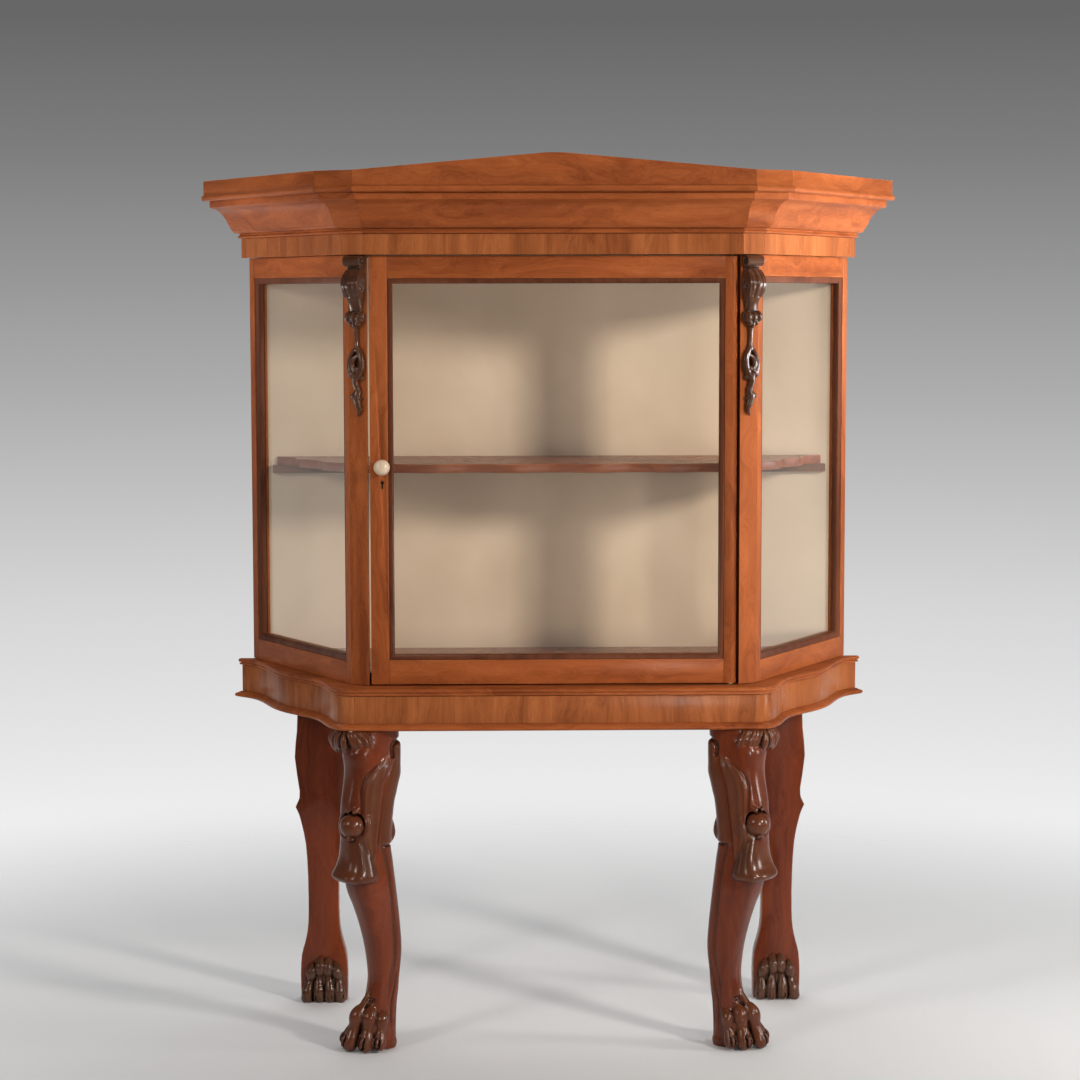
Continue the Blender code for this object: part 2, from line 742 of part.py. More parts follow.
def rear_paw():
    """A paw carved on the front of a rear leg, with its toes on the floor."""
    front = BACK_Y - REAR_LEG_INSET - REAR_LEG_THICK - SEAT
    body = []
    for height, width, reach in REAR_PAW_SECTIONS:
        ring = []
        for i in range(9):
            turn = math.pi * i / 8
            x = REAR_LEG_X + REAR_PAW_HALF_WIDTH * width * math.cos(turn)
            y = front - REAR_PAW_DEPTH * reach * math.sin(turn) ** 0.6
            ring.append((x, y, REAR_PAW_HEIGHT * height))
        body.append(ring)
    shapes = [loft([below_floor(body[0]), *body])]
    for i in range(REAR_TOES):
        share = (i + 0.5) / REAR_TOES * 2 - 1
        across = share * (REAR_PAW_HALF_WIDTH - REAR_TOE_RADIUS * 0.2)
        reach = REAR_PAW_DEPTH * (1 - 0.28 * share * share) - REAR_TOE_RADIUS * 0.45
        rings = []
        for height, size, lean in REAR_TOE_SECTIONS:
            centre = Vector((REAR_LEG_X + across * (1 - height * 0.25), front - reach * lean))
            radius = REAR_TOE_RADIUS * size
            level = REAR_PAW_HEIGHT * height
            rings.append([(centre.x + x, centre.y + y, level) for x, y in circle(radius, 10)])
        shapes.append(loft([below_floor(rings[0]), *rings]))
    carved = trimmed(fused(shapes), (0, front, 0), (0, 1, 0))
    return trimmed(carved, (0, 0, 0), (0, 0, -1))


def make_rear_legs(finish):
    pair("rear_leg", rear_leg_board(), finish["leg"])
    pair("rear_paw", rear_paw(), finish["carving"], smooth=45)


# Frieze, cornice and top

def crown_profile():
    """Outer points of the cornice from its foot up to the foot of the top fascia."""
    points = half_round(ASTRAGAL_DEPTH, SEAT, ASTRAGAL_HEIGHT, QUIRK_DEPTH)
    points.append((QUIRK_DEPTH, CYMA_FOOT))
    points += bezier(
        (CYMA_FOOT_DEPTH, CYMA_FOOT),
        (CYMA_FOOT_DEPTH + CYMA_FOOT_PULL, CYMA_FOOT),
        (FILLET_DEPTH - CYMA_HEAD_PULL, FILLET_FOOT - CYMA_HEAD_DROP * CYMA_HEIGHT),
        (FILLET_DEPTH, FILLET_FOOT),
        9,
    )
    points.append((FILLET_DEPTH, TORUS_FOOT))
    points += half_round(TORUS_DEPTH, TORUS_FOOT, FASCIA_FOOT - SEAT, FASCIA_DEPTH)
    return points


def make_cornice(finish):
    inner = -FRIEZE_THICK
    frieze = [(inner, SEAT), (0, SEAT), (0, FRIEZE_HEIGHT), (inner, FRIEZE_HEIGHT)]
    front = solid("frieze_front", mitred(frieze, "front", FRIEZE_Z), finish["veneer"])
    pair("frieze_facet", mitred(frieze, "facet", FRIEZE_Z), finish["veneer"])
    pair("frieze_side", mitred(frieze, "side", FRIEZE_Z), finish["veneer"])
    crown = crown_profile()
    foot = (inner, SEAT)
    shelf = FASCIA_FOOT - SEAT
    low = [foot, *crown, (inner, shelf)]
    step = FASCIA_DEPTH - FASCIA_THICK
    high = [foot, *crown, (FASCIA_DEPTH, FASCIA_TOP), (step, FASCIA_TOP), (step, shelf), (inner, shelf)]
    solid("cornice_front", mitred(low, "front", CORNICE_Z), finish["case"], smooth=30)
    pair("cornice_facet", mitred(high, "facet", CORNICE_Z), finish["case"], smooth=30)
    pair("cornice_side", mitred(high, "side", CORNICE_Z), finish["case"], smooth=30)
    solid("pediment", pediment(), finish["case"])
    top_z = CORNICE_Z + FASCIA_FOOT
    corner, heel, rear = plan(step - SEAT)
    top = prism(whole_outline([corner, heel, rear]), top_z, top_z + TOP_BOARD_THICK)
    solid("top_board", top, finish["back"])
    corner, heel, rear = plan(inner - SEAT)
    ceiling = prism(whole_outline([corner, heel, rear]), FRIEZE_Z + SEAT, FRIEZE_Z + CEILING_THICK)
    solid("case_ceiling", ceiling, finish["back"])
    near = plan(inner - SEAT, BACK_Y - CORNICE_BACK_THICK)[2]
    foot_z = FRIEZE_Z + CEILING_THICK + SEAT
    closing = prism(whole_outline([near, rear]), foot_z, CORNICE_Z + FASCIA_FOOT - SEAT)
    solid("cornice_back", closing, finish["back"])
    return front


def pediment():
    """The front fascia board, whose top edge rises to a low rounded peak."""
    rings = []
    for offset in (FASCIA_DEPTH, FASCIA_DEPTH - FASCIA_THICK):
        half = plan(offset)[0].x - SEAT / 2
        y = FRIEZE_Y - offset
        slope = PEDIMENT_RISE / half
        peak = CORNICE_Z + FASCIA_TOP + PEDIMENT_RISE
        foot = CORNICE_Z + FASCIA_FOOT
        shoulder = CORNICE_Z + FASCIA_TOP
        crown = []
        for i in range(7):
            x = PEDIMENT_PEAK_HALF * (1 - i / 3)
            crown.append((x, y, peak - slope * x * x / (2 * PEDIMENT_PEAK_HALF)))
        rings.append([(-half, y, foot), (half, y, foot), (half, y, shoulder), *crown, (-half, y, shoulder)])
    return loft(rings)


# Case

def rebated_bar(outline, low, high, face, lip, lip_low, lip_high):
    """An upright or level bar with a lip along its inner edge, at the back, that the glass rests on.

    The outline is in the frame's own X and depth; `face` is the way the lip grows, by its width.
    """
    bm = prism(outline, low, high)
    lip_front = FRAME_THICK - LIP_THICK
    axis = 0 if face[0] else 2
    across = 2 - axis
    planes = [((0, lip_front, 0), (0, 1, 0))]
    for place in (lip_low, lip_high):
        point = [0, 0, 0]
        point[across] = place
        normal = [0, 0, 0]
        normal[across] = 1
        planes.append((point, normal))
    for point, normal in planes:
        geometry = [*bm.verts, *bm.edges, *bm.faces]
        bmesh.ops.bisect_plane(bm, geom=geometry, plane_co=point, plane_no=normal)
    way = Vector(face)
    chosen = []
    for item in bm.faces:
        centre = item.calc_center_median()
        inside = lip_low < centre[across] < lip_high and centre.y > lip_front
        if inside and item.normal.dot(way) > 0.99:
            chosen.append(item)
    grown = bmesh.ops.extrude_face_region(bm, geom=chosen)["geom"]
    verts = [item for item in grown if isinstance(item, bmesh.types.BMVert)]
    bmesh.ops.translate(bm, verts=verts, vec=way * lip)
    bmesh.ops.delete(bm, geom=chosen, context="FACES")
    bmesh.ops.recalc_face_normals(bm, faces=bm.faces)
    return bm


def bar_outline(low, high):
    return [(low, 0), (high, 0), (high, FRAME_THICK), (low, FRAME_THICK)]


def bead_frame(low, high, width):
    """A mitred glazing bead inside an opening, given by its lower and upper corner in X and Z."""
    back = FRAME_THICK - LIP_THICK - GLASS_THICK - 2 * SEAT
    slope = bezier(
        (BEAD_QUIRK, BEAD_SETBACK),
        (width * 0.7, BEAD_SETBACK),
        (width, BEAD_SETBACK + BEAD_SLOPE * 0.4),
        (width, BEAD_SETBACK + BEAD_SLOPE),
        3,
    )
    profile = [(0, back), (0, BEAD_SETBACK), *slope[1:], (width, back)]
    rings = []
    for inset, depth in profile:
        x0 = low[0] + inset
        x1 = high[0] - inset
        z0 = low[1] + inset
        z1 = high[1] - inset
        rings.append([(x0, depth, z0), (x1, depth, z0), (x1, depth, z1), (x0, depth, z1)])
    return loft(rings, closed_path=True)


def glazed_frame(left, right, top, bottom, bead, width, height, left_outline=None, right_outline=None):
    """The pieces of a glazed frame in its own place: X along it, depth in Y, Z up from its foot."""
    inner_left = left
    inner_right = width - right
    inner_low = bottom
    inner_high = height - top
    rail = (inner_left + SEAT, inner_right - SEAT)
    rail_lip = (bead, inner_left + bead + SEAT, inner_right - bead - SEAT)
    stile_lip = (bead, inner_low + SEAT, inner_high - SEAT)
    glass_back = FRAME_THICK - LIP_THICK - SEAT
    clear = GLASS_EDGE_CLEARANCE
    left_outline = left_outline or bar_outline(0, inner_left)
    right_outline = right_outline or bar_outline(inner_right, width)
    return {
        "stile_a": rebated_bar(left_outline, 0, height, (1, 0, 0), *stile_lip),
        "stile_b": rebated_bar(right_outline, 0, height, (-1, 0, 0), *stile_lip),
        "rail_bottom": rebated_bar(bar_outline(*rail), 0, inner_low, (0, 0, 1), *rail_lip),
        "rail_top": rebated_bar(bar_outline(*rail), inner_high, height, (0, 0, -1), *rail_lip),
        "glass": box(
            (inner_left + clear, glass_back - GLASS_THICK, inner_low + clear),
            (inner_right - clear, glass_back, inner_high - clear),
        ),
        "bead": bead_frame(
            (inner_left + SEAT, inner_low + SEAT), (inner_right - SEAT, inner_high - SEAT), bead
        ),
    }


def make_side_frames(finish):
    length = (CASE_REAR - CASE_HEEL).length
    skew = FRAME_THICK / math.tan(SIDE_ANGLE)
    inner = length - SIDE_STILE_REAR
    rear_outline = [(inner, 0), (length, 0), (length - skew, FRAME_THICK), (inner, FRAME_THICK)]
    front_outline = bar_outline(SEAT, SIDE_STILE_FRONT)
    shapes = glazed_frame(
        SIDE_STILE_FRONT, SIDE_STILE_REAR, SIDE_RAIL_TOP, SIDE_RAIL_BOTTOM, SIDE_BEAD_WIDTH,
        length, CASE_HEIGHT - 2 * SEAT, front_outline, rear_outline,
    )
    place = Matrix.Translation((*CASE_HEEL, CASE_Z + SEAT)) @ Matrix.Rotation(SIDE_ANGLE, 4, "Z")
    finishes = {"glass": "glass", "bead": "bead"}
    names = {"stile_a": "stile_front", "stile_b": "stile_rear"}
    for name, bm in shapes.items():
        pair("side_" + names.get(name, name), moved(bm, place), finish[finishes.get(name, "case")])


def post_outline():
    inward = CASE_HEEL - FRAME_THICK * SIDE_NORMAL
    return [CASE_CORNER, CASE_HEEL, inward, Vector((CASE_CORNER.x, inward.y))]


def make_case(finish):
    post = prism(post_outline(), CASE_Z + SEAT, FRIEZE_Z - SEAT)
    posts = pair("corner_post", post, finish["case"])
    inner = -CASE_INSET - FRAME_THICK - SEAT
    low = CASE_Z + SEAT
    high = FRIEZE_Z - SEAT
    near = plan(inner, BACK_Y - BACK_PANEL_THICK)[2]
    far = plan(inner)[2]
    solid("back_panel", prism(whole_outline([near, far]), low, high), finish["back"])
    lining = [plan(inner, y)[2] for y in (LINING_Y, LINING_Y + LINING_THICK)]
    solid("back_lining", prism(whole_outline(lining), low, high), finish["lining"])
    post_x = CASE_CORNER.x - SEAT
    post_back = post_outline()[2].y + SEAT
    front_y = CASE_Y + FRAME_THICK + DOOR_STOP_GAP
    rear_y = LINING_Y - SEAT
    floor = [
        Vector((post_x, front_y)),
        Vector((post_x, post_back)),
        plan(inner, post_back)[2],
        plan(inner, rear_y)[2],
    ]
    solid("case_floor", prism(whole_outline(floor), low, CASE_Z + CASE_FLOOR_THICK), finish["shelf"])
    make_shelf(finish, inner, rear_y)
    return posts


def make_shelf(finish, inner, rear_y):
    """A shelf whose front and side edges are cut in a run of small waves."""
    front_y = FRIEZE_Y + SHELF_FRONT_SETBACK
    edge = inner - SHELF_SIDE_GAP
    corner = plan(edge, front_y)[2]
    rear = plan(edge, rear_y)[2]
    outline = []
    runs = (
        (flipped(corner), corner, FRONT_NORMAL, SHELF_WAVES_FRONT),
        (corner, rear, SIDE_NORMAL, SHELF_WAVES_SIDE),
    )
    for start, end, normal, waves in runs:
        steps = waves * SHELF_STEPS_PER_WAVE
        for i in range(steps):
            wave = SHELF_WAVE * (math.cos(2 * math.pi * waves * i / steps) - 1)
            outline.append(start.lerp(end, i / steps) + normal * wave)
    front_points = outline[: SHELF_WAVES_FRONT * SHELF_STEPS_PER_WAVE]
    side_points = [*outline[len(front_points):], rear]
    back_side = [flipped(point) for point in reversed(side_points[1:])]
    top = SHELF_Z + SHELF_THICK
    shelf = prism([*front_points, *side_points, *back_side], SHELF_Z, top)
    solid("shelf", shelf, finish["shelf"])
    batten_x = plan(inner, rear_y - BATTEN_SIZE)[2].x
    batten = box(
        (-batten_x, rear_y - BATTEN_SIZE, SHELF_Z - SEAT - BATTEN_SIZE), (batten_x, rear_y, SHELF_Z - SEAT)
    )
    solid("shelf_batten", batten, finish["back"])


# Carved corbels on the corner posts

# Sections by their drop below the frieze, half width and stand-out, as shares of the corbel's
CORBEL_SECTIONS = (
    (0.004, 0.968, 0.625),
    (0.040, 0.968, 0.661),
    (0.066, 0.935, 0.571),
    (0.080, 0.806, 0.375),
    (0.108, 0.839, 0.446),
    (0.156, 0.968, 0.804),
    (0.204, 0.968, 1.000),
    (0.248, 0.903, 0.821),
    (0.296, 0.774, 0.393),
    (0.328, 0.710, 0.250),
    (0.348, 0.903, 0.375),
    (0.392, 1.000, 0.464),
    (0.424, 0.774, 0.339),
    (0.448, 0.323, 0.214),
    (0.512, 0.245, 0.179),
    (0.568, 0.387, 0.214),
    (0.632, 0.806, 0.321),
    (0.704, 0.903, 0.429),
    (0.760, 0.742, 0.357),
    (0.796, 0.323, 0.214),
    (0.848, 0.419, 0.179),
    (0.904, 0.613, 0.250),
    (0.960, 0.355, 0.179),
    (1.000, 0.097, 0.071),
)


def make_corbels(finish):
    middle = (CASE_CORNER + CASE_HEEL) / 2 + SEAT * FACET_NORMAL
    rings = []
    for drop, width, reach in CORBEL_SECTIONS:
        ring = []
        for i in range(10):
            turn = math.pi * i / 9
            across = CORBEL_HALF_WIDTH * width * math.cos(turn)
            out = CORBEL_DEPTH * reach * math.sin(turn) ** 0.4
            point = middle - FACET_RUN * across + FACET_NORMAL * out
            ring.append((*point, FRIEZE_Z - CORBEL_HEIGHT * drop))
        rings.append(ring)
    pair("corbel", loft(rings), finish["carving"], smooth=45)


# Door, with its hinges, lock and knob

def hinge_stile_outline(width):
    """The stile's section, with the round outer edge that lets it turn on its pins."""
    radius = FRAME_THICK / 2
    steps = 12
    turns = [math.pi * (i / steps - 0.5) for i in range(steps + 1)]
    edge = [(width - radius + radius * math.cos(a), radius + radius * math.sin(a)) for a in turns]
    inner = width - DOOR_HINGE_STILE
    return [(inner, 0), *edge, (inner, FRAME_THICK)]


def make_door(finish, frieze, base):
    half = CASE_CORNER.x - DOOR_SIDE_GAP
    width = 2 * half
    height = CASE_HEIGHT - 2 * DOOR_END_GAP
    foot = Vector((-half, CASE_Y, CASE_Z + DOOR_END_GAP))
    pivot = Vector((half - FRAME_THICK / 2, CASE_Y + FRAME_THICK / 2, foot.z))
    axis = joint_empty("door_axis", pivot)
    shapes = glazed_frame(
        DOOR_LOCK_STILE, DOOR_HINGE_STILE, DOOR_RAIL_TOP, DOOR_RAIL_BOTTOM, DOOR_BEAD_WIDTH,
        width, height, right_outline=hinge_stile_outline(width),
    )
    names = {"stile_a": "lock_stile", "stile_b": "hinge_stile"}
    finishes = {"glass": "glass", "bead": "bead"}
    place = Matrix.Translation(foot)
    pieces = {}
    for name, bm in shapes.items():
        smooth = 40 if name == "stile_b" else None
        finished = finish[finishes.get(name, "case")]
        pieces[name] = solid("door_" + names.get(name, name), moved(bm, place), finished, axis, smooth)
    make_hinges(finish, frieze, base, pieces["stile_b"], pivot, foot.z + height)
    lock_z = foot.z + LOCK_ABOVE_DOOR_FOOT
    edge = Vector((-half, CASE_Y, lock_z))
    make_lock(finish, pieces["stile_a"], edge, axis)
    make_knob(finish, pieces["stile_a"], edge, axis)
    return edge


def make_hinges(finish, frieze, base, stile, pivot, head):
    """A pin on a plate above and below, each plate let in flush and each pin in a bore of the stile."""
    hosts = (("top", frieze, -1, FRIEZE_Z + SEAT), ("bottom", base, 1, CASE_Z - SEAT))
    for name, host, way, face in hosts:
        end = head if name == "top" else pivot.z
        collar = abs(end - face) - SEAT
        reach = abs(end - face) + PIN_LENGTH
        pin = turned([(PIN_RADIUS, -HINGE_PLATE_THICK / 2), (PIN_RADIUS, reach)])
        washer = turned([(COLLAR_RADIUS, -HINGE_PLATE_THICK / 2), (COLLAR_RADIUS, collar)])
        long_end = HINGE_PLATE_OVERHANG - HINGE_PLATE_LENGTH
        half = HINGE_PLATE_WIDTH / 2
        plate = box((long_end, -half, -HINGE_PLATE_THICK), (HINGE_PLATE_OVERHANG, half, 0))
        flip = Matrix.Rotation(math.pi, 4, "X") if way < 0 else Matrix.Identity(4)
        place = Matrix.Translation((pivot.x, pivot.y, face)) @ flip
        solid("hinge_pin_" + name, moved(fused([plate, washer, pin]), place), finish["brass"], smooth=30)
        pocket = box(
            (long_end - SEAT, -half - SEAT, -HINGE_PLATE_THICK - SEAT),
            (HINGE_PLATE_OVERHANG + SEAT, half + SEAT, HINGE_PLATE_THICK),
        )
        cut(host, moved(pocket, place), "hinge_pocket_" + name)
        depth = PIN_LENGTH + PIN_END_CLEARANCE
        radius = (PIN_RADIUS + PIN_CLEARANCE) / math.cos(math.pi / ROUND_STEPS)
        bore = turned([(radius, -depth), (radius, depth)])
        cut(stile, moved(bore, Matrix.Translation((pivot.x, pivot.y, end))), "hinge_bore_" + name)


def make_lock(finish, stile, edge, axis):
    back = FRAME_THICK
    half_case = LOCK_CASE_HEIGHT / 2
    half_plate = LOCK_PLATE_HEIGHT / 2
    place = Matrix.Translation(edge)

    def case_shape(gap):
        case = box(
            (-gap, back - LOCK_DEPTH - gap, -half_case - gap),
            (LOCK_WIDTH + gap, back + gap, half_case + gap),
        )
        plate = box(
            (-gap, back - LOCK_PLATE_DEPTH - gap, -half_plate - gap),
            (LOCK_PLATE_THICK + gap, back + gap, half_plate + gap),
        )
        return moved(fused([case, plate]), place)

    cut(stile, case_shape(SEAT), "lock_pocket")
    lock = solid("lock_case", case_shape(0), finish["brass"], axis)
    bolt_y = back - LOCK_DEPTH / 2
    half_thick = BOLT_THICK / 2
    half_height = BOLT_HEIGHT / 2
    slot = box(
        (-BOLT_LENGTH, bolt_y - half_thick - SEAT, -half_height - SEAT),
        (BOLT_LENGTH + 2 * SEAT, bolt_y + half_thick + SEAT, half_height + SEAT),
    )
    cut(lock, moved(slot, place), "bolt_slot")
    bolt = box(
        (SEAT, bolt_y - half_thick, -half_height), (SEAT + BOLT_LENGTH, bolt_y + half_thick, half_height)
    )
    slide = joint_empty("lock_bolt_axis", edge + Vector((0, bolt_y, 0)))
    slide.parent = axis
    slide.matrix_parent_inverse = Matrix.Translation(axis.location).inverted()
    bolt = solid("lock_bolt", moved(bolt, place), finish["brass"], slide)
    bolt.matrix_parent_inverse = Matrix.Translation(slide.location).inverted()
    key = Vector((KEYHOLE_IN, 0, -KEYHOLE_DROP))
    lay = Matrix.Rotation(-math.pi / 2, 4, "X")
    eye = turned([(KEYHOLE_RADIUS, -back), (KEYHOLE_RADIUS, back - LOCK_DEPTH)], 16)
    eye = moved(eye, Matrix.Translation(key) @ lay)
    slot_half = KEYHOLE_SLOT / 2
    drop = box(
        (key.x - slot_half, -back, key.z - KEYHOLE_LENGTH), (key.x + slot_half, back - LOCK_DEPTH, key.z)
    )
    cut(stile, moved(fused([eye, drop]), place), "keyhole")


def make_knob(finish, stile, edge, axis):
    """A round knob on a neck and rose, with its shank in the stile."""
    start = math.asin(KNOB_NECK_RADIUS / KNOB_RADIUS)
    middle = KNOB_STANDOUT - KNOB_RADIUS
    rings = 9
    ball = []
    for i in range(rings):
        turn = start + (math.pi - start) * i / rings
        ball.append((KNOB_RADIUS * math.sin(turn), middle - KNOB_RADIUS * math.cos(turn)))
    profile = [
        (KNOB_SHANK_RADIUS, -KNOB_SHANK_LENGTH),
        (KNOB_SHANK_RADIUS, SEAT),
        (KNOB_ROSE_RADIUS, SEAT),
        (KNOB_ROSE_RADIUS, KNOB_ROSE_THICK * 0.6),
        (KNOB_NECK_RADIUS, KNOB_ROSE_THICK),
        *ball,
        (KNOB_RADIUS * 0.12, KNOB_STANDOUT),
    ]
    centre = edge + Vector((KNOB_IN, 0, KNOB_ABOVE_LOCK))
    place = Matrix.Translation(centre) @ Matrix.Rotation(math.pi / 2, 4, "X")
    solid("door_knob", moved(turned(profile, 20), place), finish["ivory"], axis, smooth=50)
    depth = KNOB_SHANK_LENGTH + SEAT
    bore = turned([(KNOB_SHANK_RADIUS + SEAT, -depth), (KNOB_SHANK_RADIUS + SEAT, depth)], 20)
    cut(stile, moved(bore, place), "knob_bore")


def cut_bolt_mortise(post, edge):
    """The hole in the left post that the bolt shoots into."""
    half_thick = BOLT_THICK / 2 + MORTISE_CLEARANCE
    half_height = BOLT_HEIGHT / 2 + MORTISE_CLEARANCE
    reach = BOLT_THROW + MORTISE_CLEARANCE
    bolt_y = FRAME_THICK - LOCK_DEPTH / 2
    hole = box((-reach, bolt_y - half_thick, -half_height), (0, bolt_y + half_thick, half_height))
    cut(post, moved(hole, Matrix.Translation(edge)), "bolt_mortise")


def main():
    for item in list(bpy.data.objects):
        bpy.data.objects.remove(item)
    finish = make_materials()
    base = make_base(finish)
    make_front_legs(finish)
    make_rear_legs(finish)
    left_post, right_post = make_case(finish)
    make_side_frames(finish)
    frieze = make_cornice(finish)
    make_corbels(finish)
    lock_edge = make_door(finish, frieze, base)
    cut_bolt_mortise(left_post, lock_edge)


main()
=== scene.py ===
import json
import math

import bmesh
import bpy
import numpy as np
from mathutils import Matrix, Vector


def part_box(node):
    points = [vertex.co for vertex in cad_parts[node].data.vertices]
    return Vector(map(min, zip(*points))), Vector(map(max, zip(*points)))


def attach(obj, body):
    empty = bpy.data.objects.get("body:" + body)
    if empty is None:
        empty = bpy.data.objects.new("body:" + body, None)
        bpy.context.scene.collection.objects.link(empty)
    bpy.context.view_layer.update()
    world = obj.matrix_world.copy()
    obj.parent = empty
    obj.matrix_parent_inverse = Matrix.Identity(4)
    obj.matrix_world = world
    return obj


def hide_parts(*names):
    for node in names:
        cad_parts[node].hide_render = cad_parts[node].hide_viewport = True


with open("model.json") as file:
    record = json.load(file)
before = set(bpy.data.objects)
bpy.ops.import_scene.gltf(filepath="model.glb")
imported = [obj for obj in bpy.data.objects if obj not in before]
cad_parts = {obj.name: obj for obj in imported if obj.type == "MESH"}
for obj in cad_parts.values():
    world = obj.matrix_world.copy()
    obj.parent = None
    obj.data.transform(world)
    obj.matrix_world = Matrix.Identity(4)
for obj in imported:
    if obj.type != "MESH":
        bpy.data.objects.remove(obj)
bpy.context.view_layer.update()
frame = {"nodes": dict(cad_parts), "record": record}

bl_info = {
    "name": "Glass display cabinet",
    "version": (1, 0, 0),
    "blender": (4, 5, 0),
    "location": "View3D > Sidebar > Cabinet",
    "description": "Finishes and carves a canted display cabinet on paw legs",
    "category": "Object",
}

NODES = frame["nodes"]
RECORD = frame["record"]
BODY_OF = {node: body for body, nodes in RECORD["behaviour"]["bodies"].items() for node in nodes}
SLOT_OF = {part["node"]: part["material_slot"] for part in RECORD["subparts"]}
SIDES = (-1, 1)


def tenths(*rows):
    """Rows of sizes written in tenths of a millimetre, as metres."""
    return np.array(rows) / 10000


def level_way(degrees):
    turn = math.radians(degrees)
    return Vector((math.cos(turn), math.sin(turn), 0))


# Ways that the grain runs in the front, facets and sides of the canted case, on the right
GRAIN_RUNS = {"front": level_way(0), "upright": Vector((0, 0, 1)), "facet": level_way(30), "side": level_way(60)}

# Front legs: place of the right one, and how far it turns out from straight ahead
LEG_AXIS = Vector((0.27005, -0.1265, 0))
LEG_TURN = math.radians(52)
LEG_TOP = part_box("front_leg_right")[1].z
LEG_SQUARENESS = 2.8
# Sections of a front leg: height, forward place, half depth, half width
LEG_SECTIONS = tenths(
    (5110, 125, 350, 300), (5000, 135, 361, 301), (4880, 190, 416, 306), (4750, 222, 447, 312),
    (4550, 209, 431, 318), (4400, 208, 433, 318), (4250, 237, 424, 308), (4100, 270, 420, 298),
    (3900, 310, 412, 288), (3400, 335, 392, 278), (2990, 285, 390, 290), (2600, 232, 382, 310),
    (2300, 150, 345, 285), (2000, 78, 315, 258), (1600, 10, 280, 238), (1200, 2, 240, 220), (950, 25, 238, 215),
    (700, 55, 232, 208), (400, 40, 200, 195), (0, 35, 195, 190))

# Sections of the bell below the knee ball, in the same way, and how far it sits to the inner side
BELL_SECTIONS = tenths(
    (3520, 590, 135, 190), (3380, 570, 160, 245), (3220, 552, 185, 292), (3070, 545, 212, 330),
    (2960, 550, 245, 358), (2880, 562, 285, 380), (2830, 568, 302, 385), (2790, 562, 290, 370),
    (2760, 552, 262, 340))
BELL_SIDE = -0.0030
BELL_SQUARENESS = 2.6
BALL = (0.0670, -0.0125, 0.3645)
BALL_RADIUS = 0.0195

# Lines on a leg's side, as forward place and height: edge of the leaf, the vein between its two ribs, and
# the notch and the curl cut above it
LEAF_EDGE = tenths(
    (200, 4680), (260, 4625), (440, 4475), (540, 4255), (560, 3885), (580, 3515), (550, 3330), (470, 3150),
    (390, 3060))
LEAF_VEIN = tenths((40, 4740), (75, 4600), (190, 4255), (250, 3810), (300, 3445), (345, 3185), (380, 3060))
NOTCH = 0.493
LEAF_CURL = tenths((-80, 4915), (0, 4885), (32, 4800), (20, 4690))
# Height of the front rib, by the share of the way from the vein to the edge
RIB_CURVE = (
    (-0.30, 0.0000), (0.00, 0.0000), (0.09, 0.0032), (0.19, 0.0055), (0.31, 0.0044), (0.45, 0.0034), (0.57, 0.0038),
    (0.67, 0.0048), (0.78, 0.0036), (0.88, 0.0030), (0.945, 0.0044), (0.985, 0.0034), (1.02, 0.0000),
    (1.06, -0.0016), (1.14, 0.0000), (1.30, 0.0000))
BACK_RIB = 0.0046
# Ear behind the knee: height, distance from the leg's back, radius
EAR = tenths((3740, 85, 40), (3580, 30, 62), (3450, 10, 68), (3370, 25, 52))
EAR_SIDE = 0.0155
# Strip at the back of the shaft: heights of its step and ends, then its width and the radius of its groove by height
STRIP_STEP = 0.3285
STRIP_TOP = 0.327
STRIP_FOOT = 0.075
STRIP_WIDTH = tenths((2000, 215), (3000, 225), (3270, 260))
STRIP_GROOVE = tenths((750, 10), (1600, 31))
# Ball in the knee: the way it faces, and the berries above it as place aside and size, then out, up and share of size
BALL_WAY = (0.90, -0.40, 0.17)
CALYX_ROWS = ((-0.0070, 0.0058), (0.0050, 0.0050))
CALYX_BERRIES = ((-0.0020, 0.0245, 0.9), (0.0040, 0.0245, 1.0), (0.0085, 0.0222, 0.75))
LOW_BERRIES = ((0.0000, 0.0042), (0.0060, 0.0028), (-0.0060, 0.0028))

# Toes of a front paw: forward and outward place of the knuckle, then of the pad, the toe's size and its height
TOES = (
    ((0.0350, 0.0235), (0.0470, 0.0310), 1.00, 0.94),
    ((0.0470, 0.0075), (0.0575, 0.0110), 1.08, 1.00),
    ((0.0350, -0.0090), (0.0440, -0.0115), 1.04, 0.97),
    ((0.0190, -0.0200), (0.0275, -0.0250), 0.86, 0.88),
)
# A toe from its root to its pad: share of the way from knuckle to pad, height, radius
TOE_LINE = (
    (-1.00, 0.0670, 0.0070), (-0.50, 0.0635, 0.0094), (-0.05, 0.0545, 0.0120), (0.22, 0.0440, 0.0096),
    (0.45, 0.0345, 0.0086), (0.86, 0.0205, 0.0116), (1.12, 0.0135, 0.0124))
TOE_FOOT = 0.0135
# The tendon behind it: height, share of the leg's section, radius
TENDON_LINE = ((0.135, 0.88, 0.0016), (0.112, 0.86, 0.0034), (0.092, 0.84, 0.0056))
# A nail: its place ahead of the pad and its height, then its bed and the nail itself as depth, radius, and -1 to cut
# or 1 to add
NAIL_AHEAD = 0.0013
NAIL_HEIGHT = 0.0142
NAIL_PARTS = ((0.0043, 0.0058, -1), (0.0018, 0.0030, 1))
NAIL_TURNS = (0.95, 0.65, 0.35, 0.05, -0.25)
TOE_TIP = 0.0124

# Tufts under the base's corner: twist of their reeds, place, way along and way out, in the leg's own frame
TUFTS = (
    (-0.006, (0.0495, -0.0100), (0.788, 0.616), (0.616, -0.788)),
    (0.004, (0.0580, 0.0300), (-0.139, 0.990), (0.990, 0.139)),
)
